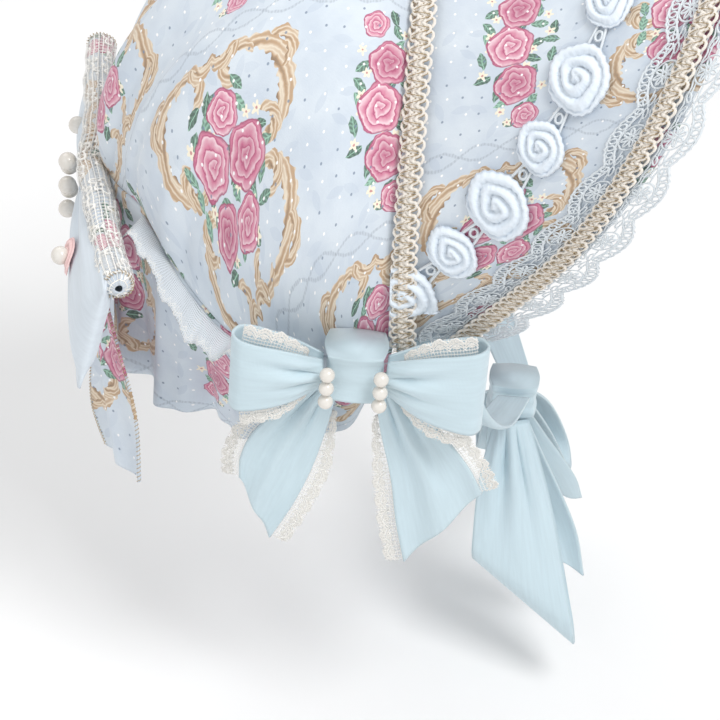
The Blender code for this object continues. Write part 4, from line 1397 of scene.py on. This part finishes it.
def rose_mesh(name, size, height, lobes=5, stretch=(1.0, 1.0)):
    """Closed relief of a rose: its face from the heart to the rim, and a flat back."""
    turn_at = 0.88

    def outline(angle):
        return 1 + 0.055 * np.abs(np.cos(lobes * angle / 2)) + 0.02 * np.cos(23 * angle)

    def place(u, v):
        angle = 2 * math.pi * u
        radius = np.where(v < turn_at, v / turn_at, (1 - v) / (1 - turn_at))
        z = height * rose_height(radius, angle) * np.clip((1.02 - radius) * 9, 0.15, 1)
        z = np.where(v <= turn_at, 0.25 * height + z, 0)
        reach = size * radius * outline(angle)
        return vec(stretch[0] * reach * np.cos(angle), stretch[1] * reach * np.sin(angle), z)

    def flat(u, v):
        return np.stack((u * 2 * math.pi * size * 0.6, v * size), axis=-1)

    mesh = grid_mesh(name, place, (84, 22), flat)
    relief = np.clip(positions(mesh)[:, 2] / (1.25 * height), 0, 1)
    mesh.attributes.new("relief", "FLOAT", "POINT").data.foreach_set("value", relief)
    return mended(mesh, weld=True)


def gathered_up(name, parts):
    """One mesh of several, each moved by its own step and then removed."""
    shape = bmesh.new()
    for mesh, step in parts:
        known = len(shape.verts)
        shape.from_mesh(mesh)
        shape.verts.ensure_lookup_table()
        bmesh.ops.translate(shape, verts=shape.verts[known:], vec=step)
    result = bpy.data.meshes.new(name)
    shape.to_mesh(result)
    shape.free()
    for mesh in {mesh.name: mesh for mesh, _ in parts}.values():
        bpy.data.meshes.remove(mesh)
    return result


def node_centre(node):
    low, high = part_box(node)
    return np.array((low + high) / 2), np.array((high - low) / 2)


def add_pearls(name, nodes):
    """Pearls in the places of these small solids, in one piece."""
    shape = bmesh.new()
    for node in nodes:
        centre, half = node_centre(node)
        bmesh.ops.create_uvsphere(
            shape,
            u_segments=28,
            v_segments=18,
            radius=max(half),
            matrix=Matrix.Translation(Vector(centre)),
        )
    mesh = bpy.data.meshes.new(name)
    shape.to_mesh(mesh)
    shape.free()
    return finished(name, mesh, "pearl", nodes)


def add_knot(name, node, look, pleats):
    """Soft wrapped band in place of a block, with pleats along its wrap."""
    centre, half = node_centre(node)

    def place(u, v):
        angle = 2 * math.pi * u
        square = 1 / np.maximum(np.abs(np.cos(angle)), np.abs(np.sin(angle)))
        swell = 0.55 * square + 0.45
        across = 2 * v - 1
        waist = 1 - 0.10 * (1 - across**2)
        pleat = 1 + 0.028 * np.cos(pleats * math.pi * across)
        grow = swell * waist * pleat / 1.24
        x = half[0] * np.cos(angle) * 1.24 * grow
        z = half[2] * 0.98 * across
        y = half[1] * np.sin(angle) * 1.24 * grow
        return centre + vec(x, y, z)

    width, length, _ = measured(place)

    def flat(u, v):
        return np.stack((u * width, v * length), axis=-1)

    mesh = mended(grid_mesh(name, place, (64, 24), flat), weld=True, close=True)
    return finished(name, mesh, look, (node,))


def add_border(name, strip, length, width, pitch, look="ivory_thread"):
    """Scalloped corded border along the outer side of a lace strip."""
    trims = bpy.context.scene.bonnet_trims
    count = max(4, round(length / pitch))
    step = length / count
    x = np.linspace(0, step, 9)
    dip = 0.0026
    tip = np.abs(np.sin(math.pi * x / step)) * dip
    thread = trims.thread * 0.7
    strands = [
        (vec(x, width - dip + tip + 0.0003 * np.sin(10 * math.pi * x / step), 0), False, thread),
        (vec(x, width - dip - 0.0018 + tip, 0.0), False, thread * 1.1),
        (vec(x, width - dip - 0.0030 + tip, 0.0), False, thread * 0.8),
    ]
    for place in (0.10, 0.26, 0.42, 0.58, 0.74, 0.90):
        y = width - dip + dip * math.sin(math.pi * place) - 0.0009
        loop = ring(place * step, y, 0.00045, 0.0008, steps=6)
        strands.append((loop, True, thread))
    for petal in (-0.7, 0.0, 0.7):
        middle, low = step / 2 + 0.0010 * petal, width - dip - 0.0016
        loop = ring(middle, low, 0.0004, 0.0010, -petal, steps=6)
        strands.append((loop, True, thread * 0.9))
    mesh = repeated(thread_mesh(name, strands), count, step)
    return finished(
        name,
        bent(mesh, lambda x, y, z: lifted(strip, x / length, y / width, z)),
        look,
    )


def depth_of(surface, steps=80):
    """Length of a surface from its first rim to its last, at each place along it."""
    t, w = np.meshgrid(np.linspace(-1, 1, steps), np.linspace(0, 1, steps), indexing="ij")
    lengths = np.linalg.norm(np.diff(surface(t, w), axis=1), axis=-1).sum(axis=1)
    return lambda at: np.interp(at, t[:, 0], lengths)


class BONNET_OT_crown(Operator):
    """Puffed crown of printed cotton, gathered to the nape line"""

    bl_idname = "bonnet.crown"
    bl_label = "Crown"

    def execute(self, context):
        reach = depth_of(crown_form)

        def flat(u, v):
            t = arch(u)
            along = (t + CROWN_PRINT_START) * CROWN_PRINT_ARCH
            return np.stack((CROWN_PRINT_SHIFT - v * reach(t), along), axis=-1)

        add_cloth(
            "crown_cloth",
            lambda u, v: crown(arch(u), v),
            (220, 84),
            CROWN_WALL,
            "print",
            ("crown",),
            flat,
        )
        return {"FINISHED"}


class BONNET_OT_brim(Operator):
    """Flared brim of printed cotton"""

    bl_idname = "bonnet.brim"
    bl_label = "Brim"

    def execute(self, context):
        def flat(u, v):
            t = arch(u)
            along = (t + BRIM_PRINT_START) * (BRIM_PRINT_ARCH[0] + BRIM_PRINT_ARCH[1] * v)
            return np.stack((v * brim_width(t) - BRIM_PRINT_SHIFT, along), axis=-1)

        add_cloth(
            "brim_cloth",
            lambda u, v: brim(arch(u), v),
            (180, 50),
            BRIM_WALL,
            "print",
            ("brim",),
            flat,
        )
        return {"FINISHED"}


class BONNET_OT_edge_trims(Operator):
    """Guipure scallops along the brim, and the braid that holds them down"""

    bl_idname = "bonnet.edge_trims"
    bl_label = "Edge trims"

    def execute(self, context):
        trims = context.scene.bonnet_trims
        length, share = even_path(lambda u: brim_edge(arch(u)))
        count = round(length / SCALLOP_PITCH)
        strands = scallop_strands(length / count, trims.thread, trims.ring_steps)
        flipped = [(points * (1, -1, 1), closed, radius) for points, closed, radius in strands]
        row = repeated(thread_mesh("edge_guipure", strands + flipped), count, length / count)

        def laid(x, y, z):
            return on_brim(arch(share(x)), BRAID_SETBACK - y, LACE_HEIGHT + 0.7 * z)

        finished("edge_guipure", bent(row, laid), "lace_thread", ("edge_lace",))
        add_braid(
            "edge_braid_yarn",
            lambda u: on_brim(arch(u), BRAID_SETBACK, BRAID_HEIGHT),
            lambda u, y, z: on_brim(arch(u), BRAID_SETBACK - y, BRAID_HEIGHT - 0.0004 + z),
            "edge_braid",
        )
        return {"FINISHED"}


class BONNET_OT_inner_trims(Operator):
    """Raised lace roses across the brim, and the braid over the seam"""

    bl_idname = "bonnet.inner_trims"
    bl_label = "Inner trims"

    def execute(self, context):
        length, share = even_path(
            lambda u: on_brim(arch(u, ROSE_SPAN), ROSE_SETBACK, LACE_HEIGHT)
        )
        count = round(length / ROSE_PITCH)
        pitch = length / count
        big = rose_mesh("lace_rose_big", *BIG_ROSE, stretch=ROSE_STRETCH)
        small = rose_mesh("lace_rose_small", *SMALL_ROSE, stretch=ROSE_STRETCH)
        parts = [
            ((big, small)[i % 2], ((i + 0.5) * pitch, 0.0, 0.0)) for i in range(count)
        ]
        roses = gathered_up("rose_lace_relief", parts)

        def laid(x, y, z):
            t = arch(share(x), ROSE_SPAN)
            ahead = unit(on_brim(t + STEP, ROSE_SETBACK, 0) - on_brim(t - STEP, ROSE_SETBACK, 0))
            over = unit(on_brim(t, ROSE_SETBACK - STEP, 0) - on_brim(t, ROSE_SETBACK + STEP, 0))
            skew = dot(ahead, over)
            square = np.sqrt(1 - skew * skew)
            t = arch(share(np.clip(x - y * skew / square, 0, length)), ROSE_SPAN)
            setback = np.minimum(ROSE_SETBACK - y / square, brim_width(t) - CLEAR)
            return on_brim(t, setback, TRIM_BASE + z)

        finished("rose_lace_relief", bent(roses, laid), "rose_lace", ("rose_lace",))
        trims = context.scene.bonnet_trims
        links = []
        for i in range(count + 1):
            x = i * pitch + (0.0018 if i % 2 else -0.0018)
            links.append((ring(x, 0, 0.0020, 0.0016, steps=10), True, trims.thread * 1.3))
            for sign in (-1, 1):
                ends = ((x - 0.0052, sign * 0.0032, 0), (x + 0.0052, sign * 0.0018, 0))
                links.append((np.array(ends), False, trims.thread * 1.3))
        bars = thread_mesh("rose_lace_bars", links)
        inside = bent(bars, lambda x, y, z: laid(np.clip(x, 0, length), y, z + 0.0006))
        finished("rose_lace_bars", inside, "lace_thread")

        def over_seam(u, y, z):
            t = arch(u)
            setback = brim_width(t) - CLEAR - BRAID_WIDTH / 2 + y
            return on_brim(t, setback, BRAID_HEIGHT - 0.0004 + z)

        add_braid("seam_braid_yarn", lambda u: over_seam(u, 0, 0), over_seam, "seam_braid")
        return {"FINISHED"}


class BONNET_OT_nape(Operator):
    """Frill below the nape line, and the narrow lace edging on that line"""

    bl_idname = "bonnet.nape"
    bl_label = "Nape frill and edging"

    def execute(self, context):
        add_cloth(
            "nape_frill_cloth",
            lambda u, v: frill(arch(u), v),
            (260, 28),
            FRILL_WALL,
            "print",
            ("nape_frill",),
            lambda u, v: np.stack((arch(u) * 0.21 + 0.010, 0.030 - v * 0.08), axis=-1),
        )
        for word, side in SIDES.items():
            span = EDGING_END - EDGING_START

            def strip(u, v, side=side, span=span):
                return edging(side * (EDGING_START + span * u), v)

            name = f"{word}_nape_edging"
            add_cloth(
                f"{name}_net", strip, (120, 8), LACE_WALL * 0.6, "grey_net", (name,),
            )
            width, length, _ = measured(strip)
            add_border(f"{name}_border", strip, width, length, EDGING_PITCH)
        return {"FINISHED"}


class BONNET_OT_side_bows(Operator):
    """Chiffon bows over the ends of the seam, with lace and strands of pearls"""

    bl_idname = "bonnet.side_bows"
    bl_label = "Side bows"

    def execute(self, context):
        for word, side in SIDES.items():
            self.make_bow(word, side)
        return {"FINISHED"}

    def make_bow(self, word, side):
        outward = np.array((float(side), 0.0, 0.0))
        loop_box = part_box(f"{word}_bow_front_loop")
        outer = max(abs(loop_box[0].x), abs(loop_box[1].x))
        crest = max(row.puff for row in LOOP_ROWS) * BOW_PUFF + RIBBON_WALL / 2
        loop_seat = outer - crest
        tail_seat = loop_seat - RIBBON_WALL - CLEAR - LOOP_BELLY * BOW_PUFF
        centre = outward * loop_seat - BACKWARD * BOW_AHEAD - UP * BOW_DROP
        add_knot(f"{word}_bow_band_cloth", f"{word}_bow_band", "ribbon", 2.0)
        tail_top = np.array((side * tail_seat, -BOW_AHEAD, 0.0))
        tail_top[2] = centre[2] - BAND_HALF_HEIGHT - 2 * CLEAR
        front_loop = (BOW_FRONT_LOOP, BOW_FRONT_HALF_HEIGHT)
        back_loop = (BOW_BACK_LOOP, BOW_BACK_HALF_HEIGHT)
        ends = (
            ("front", -BACKWARD, front_loop, FRONT_TAIL_ROWS, FRONT_TAIL_SLANT),
            ("back", BACKWARD, back_loop, BACK_TAIL_ROWS, BACK_TAIL_SLANT),
        )
        pearls = []
        for place, along, loop_size, rows, slant in ends:
            pinch = centre + along * (BAND_HALF_LENGTH + CLEAR)
            loop = ribbon_loop(pinch, along, UP, outward, *loop_size, BOW_PUFF)
            start = tail_top + along * BAND_HALF_LENGTH
            tail = ribbon_tail(
                start, -UP, -BACKWARD, outward, rows, BOW_TAIL, BOW_TAIL_HALF_WIDTH, slant
            )
            name = f"{word}_bow_{place}"
            for kind, ribbon, columns, last in (
                ("loop", loop, LOOP_COLUMNS, LOOP_COLUMNS // 2 - 1),
                ("tail", tail, TAIL_COLUMNS, TAIL_COLUMNS),
            ):
                add_cloth(
                    f"{name}_{kind}_ribbon", ribbon, (84 if kind == "loop" else 56, 28),
                    RIBBON_WALL, "ribbon", (f"{name}_{kind}",),
                )
                lace = ribbon_lace(ribbon, outward, columns, last)
                add_cloth(
                    f"{name}_{kind}_net", lace, (140, 8), LACE_WALL * 0.4, "ivory_net",
                    (f"{name}_{kind}_lace",),
                )
                width, length, _ = measured(lace)
                pitch = bpy.context.scene.bonnet_trims.border_pitch
                add_border(f"{name}_{kind}_border", lace, width, length, pitch)
            pearls += [f"{name}_pearl_{number}" for number in (1, 2, 3)]
        add_pearls(f"{word}_bow_pearls", pearls)


def smooth_step(value, low, high):
    share = np.clip((value - low) / (high - low), 0, 1)
    return share * share * (3 - 2 * share)


def tube(path, radius):
    """Surface of a soft roll of cloth: u runs along the path, v goes round it."""

    def place(u, v):
        ahead = unit(path(np.minimum(u + STEP, 1)) - path(np.maximum(u - STEP, 0)))
        side = unit(np.cross(ahead, BACKWARD + 0 * ahead))
        over = np.cross(ahead, side)
        angle = 2 * math.pi * v
        ends = smooth_step(0.5 - np.abs(u - 0.5), -0.004, 0.022)
        folds = 1 + 0.05 * np.sin(26 * u) + 0.05 * np.sin(61 * u + 3 * angle)
        reach = radius * folds * (0.25 + 0.75 * ends)
        return path(u) + by(reach * np.cos(angle), side) + by(reach * np.sin(angle), over)

    return place


def gold_edge(name, rim, radius, coil, turns, steps=8):
    """Metal thread wound round the rim of a cloth."""
    share = np.linspace(0.004, 0.996, turns * steps)
    ahead = unit(rim(share + STEP) - rim(share - STEP))
    side = unit(np.cross(ahead, vec(0.31, 0.52, 0.79)))
    over = np.cross(ahead, side)
    angle = 2 * math.pi * turns * share
    points = rim(share) + by(coil * np.cos(angle), side) + by(coil * np.sin(angle), over)
    mesh = mended(thread_mesh(name, [(points, False, radius)]))
    return finished(name, mesh, "gold_thread")


class BONNET_OT_back_bow(Operator):
    """Wide bow at the back, with plain loops, printed knot and tails, and a printed roll under
    worked net, with gold edges, rosettes and pearls
    """

    bl_idname = "bonnet.back_bow"
    bl_label = "Back bow"

    def execute(self, context):
        trims = context.scene.bonnet_trims
        low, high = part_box("back_bow_knot")
        seat = low.y
        centre_z = (low.z + high.z) / 2
        add_knot("back_bow_knot_cloth", "back_bow_knot", "print", 3.0)
        tail_y = seat + RIBBON_WALL
        loop_y = tail_y + RIBBON_WALL + CLEAR + LOOP_BELLY * BACK_PUFF
        rolls = {}
        for word, side in SIDES.items():
            name = f"back_bow_{word}"
            lean = BACK_LEAN - side * BACK_TURN
            beside = BACK_KNOT_HALF_WIDTH + CLEAR + lean * BACK_PUFF / 2
            pinch = np.array((side * beside, loop_y, centre_z))
            along = unit(np.array((side, -lean, -BACK_DROOP)))
            across = unit(np.array((0, -BACK_TILT, 1)))
            outward = unit(np.cross(across, along)) * side
            loop = ribbon_loop(
                pinch, along, across, outward, BACK_LOOP, BACK_HALF_HEIGHT, BACK_PUFF
            )

            def closed(u, v, loop=loop, side=side, outward=outward):
                share = smooth_step(np.abs(2 * v - 1), PILLOW_START, 1.0) * PILLOW_CLOSING
                back = LEFT_LOOP_BACK * smooth(LOOP_ROWS, u, "along") * (side > 0)
                place = by(1 - share, loop(u, v)) + by(share, loop(1 - u, v))
                return place + by(back, outward)

            add_cloth(
                f"{name}_loop_cloth", closed, (96, 32), RIBBON_WALL, "plain", (f"{name}_loop",),
            )

            def roll(share, side=side, pinch=pinch, along=along, across=across, outward=outward):
                up = BACK_HALF_HEIGHT * (ROLL_START + ROLL_RISE * share)
                up = up + ROLL_WAVE * np.sin(7 * share)
                back = ROLL_BACK + ROLL_LEAN[side] * share
                flat = by(BACK_LOOP * ROLL_REACH * share, along) + by(up, across)
                return pinch + flat + by(back, outward)

            rolls[side] = roll
            down = towards(DRAPED_TAIL_WAY, side)
            across = unit(np.cross(down, BACKWARD)) * side
            pinched = BACK_TAIL_HALF_WIDTH * DRAPED_TAIL_ROWS[0].spread * abs(across[2])
            start = np.array((side * BACK_TAIL_START, tail_y, centre_z))
            start -= UP * (BACK_KNOT_HALF_HEIGHT + CLEAR + pinched)
            tail = ribbon_tail(
                start, down, across, np.cross(down, across) * -side, DRAPED_TAIL_ROWS,
                BACK_TAIL, BACK_TAIL_HALF_WIDTH, DRAPED_TAIL_SLANT, DRAPED_TAIL_TWIST,
            )
            add_cloth(
                f"{name}_tail_cloth", tail, (80, 30), RIBBON_WALL, "print", (f"{name}_tail",),
                lambda u, v: np.stack((u * 0.108 + 0.06, v * 0.04 - 0.03), axis=-1),
            )
            for edge, v in (("upper", 1.0), ("lower", 0.0)):
                gold_edge(
                    f"{name}_tail_{edge}_gold",
                    lambda u, v=v, tail=tail: tail(u, np.full_like(u, v)),
                    trims.gold_thread, 0.0008, 70,
                )

            rosette = rose_mesh(f"{name}_rosette", ROSETTE_REACH, ROSETTE_HEIGHT)
            half_turn = 2 * BACK_LOOP

            def set_on(x, y, z, loop=loop, side=side, half_turn=half_turn):
                u, v = BACK_PEARL_PLACE + x / half_turn, 0.5 + y / (2 * BACK_HALF_HEIGHT)
                return lifted(loop, u, v, -side * (0.0014 + 0.6 * z))

            finished(f"{name}_rosette", bent(rosette, set_on), "rosette")

        def spine(u):
            at = arch(u)[..., None]
            share = np.clip(np.abs(at[..., 0]) * 1.08 - 0.08, 0, 1)
            right, left = rolls[-1](share), rolls[1](share)
            middle = smooth_step(at, -0.10, 0.10)
            return right * (1 - middle) + left * middle

        for kind, look, over in (("cloth", "print", 0.0), ("net", "wide_net", ROLL_NET_GAP)):
            add_cloth(
                f"back_bow_roll_{kind}", tube(spine, ROLL_RADIUS + over), (110, 20), ROLL_WALL,
                look,
            )
        outer = tube(spine, ROLL_RADIUS + ROLL_GOLD_GAP)
        for end, at in (("right", ROLL_GOLD_PLACE), ("left", 1 - ROLL_GOLD_PLACE)):
            gold_edge(
                f"back_bow_roll_{end}_gold",
                lambda u, at=at: outer(np.full_like(u, at), u),
                trims.gold_thread, 0.0007, 26,
            )
        singles = [f"back_bow_{word}_pearl" for word in SIDES]
        strand = [f"back_bow_pearl_{number}" for number in range(1, 6)]
        add_pearls("back_bow_pearls", singles + strand)
        return {"FINISHED"}


class BONNET_OT_chin_tie(Operator):
    """Chiffon ties from the ends of the brim, and their bow under the chin"""

    bl_idname = "bonnet.chin_tie"
    bl_label = "Chin tie"

    def execute(self, context):
        centre = chin_centre()
        add_knot("chin_knot_cloth", "chin_knot", "ribbon", 3.0)
        for word, side in SIDES.items():
            add_cloth(
                f"chin_tie_{word}_ribbon", chin_tie(side), (80, 30), RIBBON_WALL, "ribbon",
                (f"chin_tie_{word}",),
            )
            across = towards(CHIN_RIBBON_WIDTH, side)
            along = towards(CHIN_LOOP_WAY, side)
            outward = unit(np.cross(along, across)) * side
            beside = CHIN_HALF_WIDTH + LOOP_HOLLOW * CHIN_LOOP_PUFF
            pinch = centre + np.array((side * beside, 0, -CHIN_HALF_HEIGHT))
            loop = ribbon_loop(
                pinch, along, across, outward, CHIN_LOOP, CHIN_LOOP_HALF_WIDTH, CHIN_LOOP_PUFF,
                CHIN_LOOP_SLANT,
            )
            add_cloth(
                f"chin_{word}_loop_ribbon", loop, (96, 32), RIBBON_WALL, "ribbon",
                (f"chin_{word}_loop",),
            )
            down = towards(CHIN_TAIL_WAY, side)
            outward = unit(np.cross(down, across)) * side
            drop = CHIN_HALF_HEIGHT + CHIN_TAIL_DROP
            start = centre + np.array((side * CHIN_TAIL_START, 0, -drop))
            tail = ribbon_tail(
                start, down, across, outward, HANGING_TAIL_ROWS, CHIN_TAIL,
                CHIN_TAIL_HALF_WIDTH, CHIN_TAIL_SLANT,
            )
            add_cloth(
                f"chin_{word}_tail_ribbon", tail, (80, 30), RIBBON_WALL, "ribbon",
                (f"chin_{word}_tail",),
            )
        return {"FINISHED"}


class BONNET_OT_stage(Operator):
    """Pale floor, soft studio lights and the camera"""

    bl_idname = "bonnet.stage"
    bl_label = "Stage"

    def execute(self, context):
        setting = context.scene.bonnet_stage
        self.make_floor(setting)
        self.make_lights(setting)
        self.make_camera(context, setting)
        return {"FINISHED"}

    def make_floor(self, setting):
        shape = bmesh.new()
        bmesh.ops.create_grid(shape, x_segments=1, y_segments=1, size=4.0)
        bmesh.ops.translate(shape, verts=shape.verts, vec=(0, 0, setting.floor))
        mesh = bpy.data.meshes.new("floor")
        shape.to_mesh(mesh)
        shape.free()
        material = new_material("pale_floor", Roughness=0.6)
        g = Graph(material.node_tree)
        place = g.node("ShaderNodeTexCoord").outputs["Object"]
        tone = g.mix(g.noise(place, 3.0), (0.94, 0.94, 0.94, 1), (0.95, 0.95, 0.95, 1))
        feed(material, Base_Color=tone)
        mesh.materials.append(material)
        floor = bpy.data.objects.new("floor", mesh)
        bpy.context.scene.collection.objects.link(floor)

    def make_lights(self, setting):
        world = bpy.data.worlds.new("studio")
        world.use_nodes = True
        background = world.node_tree.nodes["Background"]
        background.inputs["Color"].default_value = (1, 1, 1, 1)
        background.inputs["Strength"].default_value = setting.sky
        bpy.context.scene.world = world
        bpy.context.scene.view_settings.view_transform = "Standard"
        for name, place, size, power in (
            ("key", (-0.7, -0.7, 1.5), 0.7, 17.0),
            ("fill", (-1.3, 0.9, 0.6), 1.4, 3.5),
            ("rim", (0.9, 0.7, 1.2), 1.0, 5.0),
        ):
            data = bpy.data.lights.new(name, "AREA")
            data.size = size
            data.energy = power
            light = bpy.data.objects.new(name, data)
            light.location = place
            light.rotation_euler = (-Vector(place)).to_track_quat("-Z", "Y").to_euler()
            bpy.context.scene.collection.objects.link(light)

    def make_camera(self, context, setting):
        a, e, r = setting.azimuth, setting.elevation, setting.roll
        back = Vector((math.sin(a) * math.cos(e), -math.cos(a) * math.cos(e), math.sin(e)))
        level = (-back).cross(Vector((0, 0, 1))).normalized()
        above = level.cross(-back)
        right = level * math.cos(r) + above * math.sin(r)
        up = above * math.cos(r) - level * math.sin(r)
        camera = bpy.data.objects.new("camera", bpy.data.cameras.new("camera"))
        turn = Matrix((right, up, back)).transposed().to_4x4()
        place = Vector(setting.aim) + back * setting.distance
        camera.matrix_world = Matrix.Translation(place) @ turn
        camera.data.lens = setting.lens
        camera.data.sensor_width = 36
        camera.data.clip_start = 0.05
        context.scene.collection.objects.link(camera)
        context.scene.camera = camera


OPERATORS = (
    BONNET_OT_crown,
    BONNET_OT_brim,
    BONNET_OT_edge_trims,
    BONNET_OT_inner_trims,
    BONNET_OT_nape,
    BONNET_OT_side_bows,
    BONNET_OT_back_bow,
    BONNET_OT_chin_tie,
    BONNET_OT_stage,
)


class BONNET_PT_panel(Panel):
    """Pieces, colours and sizes of the bonnet"""

    bl_idname = "BONNET_PT_panel"
    bl_label = "Bonnet"
    bl_space_type = "VIEW_3D"
    bl_region_type = "UI"
    bl_category = "Bonnet"

    def draw(self, context):
        for operator in OPERATORS:
            self.layout.operator(operator.bl_idname)
        for group in (
            context.scene.bonnet_colours, context.scene.bonnet_trims, context.scene.bonnet_stage
        ):
            box = self.layout.box()
            for name in group.bl_rna.properties.keys():
                if name not in {"rna_type", "name"}:
                    box.prop(group, name)


CLASSES = (BonnetColours, BonnetTrims, BonnetStage, *OPERATORS, BONNET_PT_panel)


def register():
    for kind in CLASSES:
        bpy.utils.register_class(kind)
    bpy.types.Scene.bonnet_colours = PointerProperty(type=BonnetColours)
    bpy.types.Scene.bonnet_trims = PointerProperty(type=BonnetTrims)
    bpy.types.Scene.bonnet_stage = PointerProperty(type=BonnetStage)


def unregister():
    del bpy.types.Scene.bonnet_stage
    del bpy.types.Scene.bonnet_trims
    del bpy.types.Scene.bonnet_colours
    for kind in reversed(CLASSES):
        bpy.utils.unregister_class(kind)


def main():
    register()
    bpy.ops.bonnet.crown()
    bpy.ops.bonnet.brim()
    bpy.ops.bonnet.edge_trims()
    bpy.ops.bonnet.inner_trims()
    bpy.ops.bonnet.nape()
    bpy.ops.bonnet.side_bows()
    bpy.ops.bonnet.back_bow()
    bpy.ops.bonnet.chin_tie()
    bpy.ops.bonnet.stage()


if __name__ == "__main__":
    main()
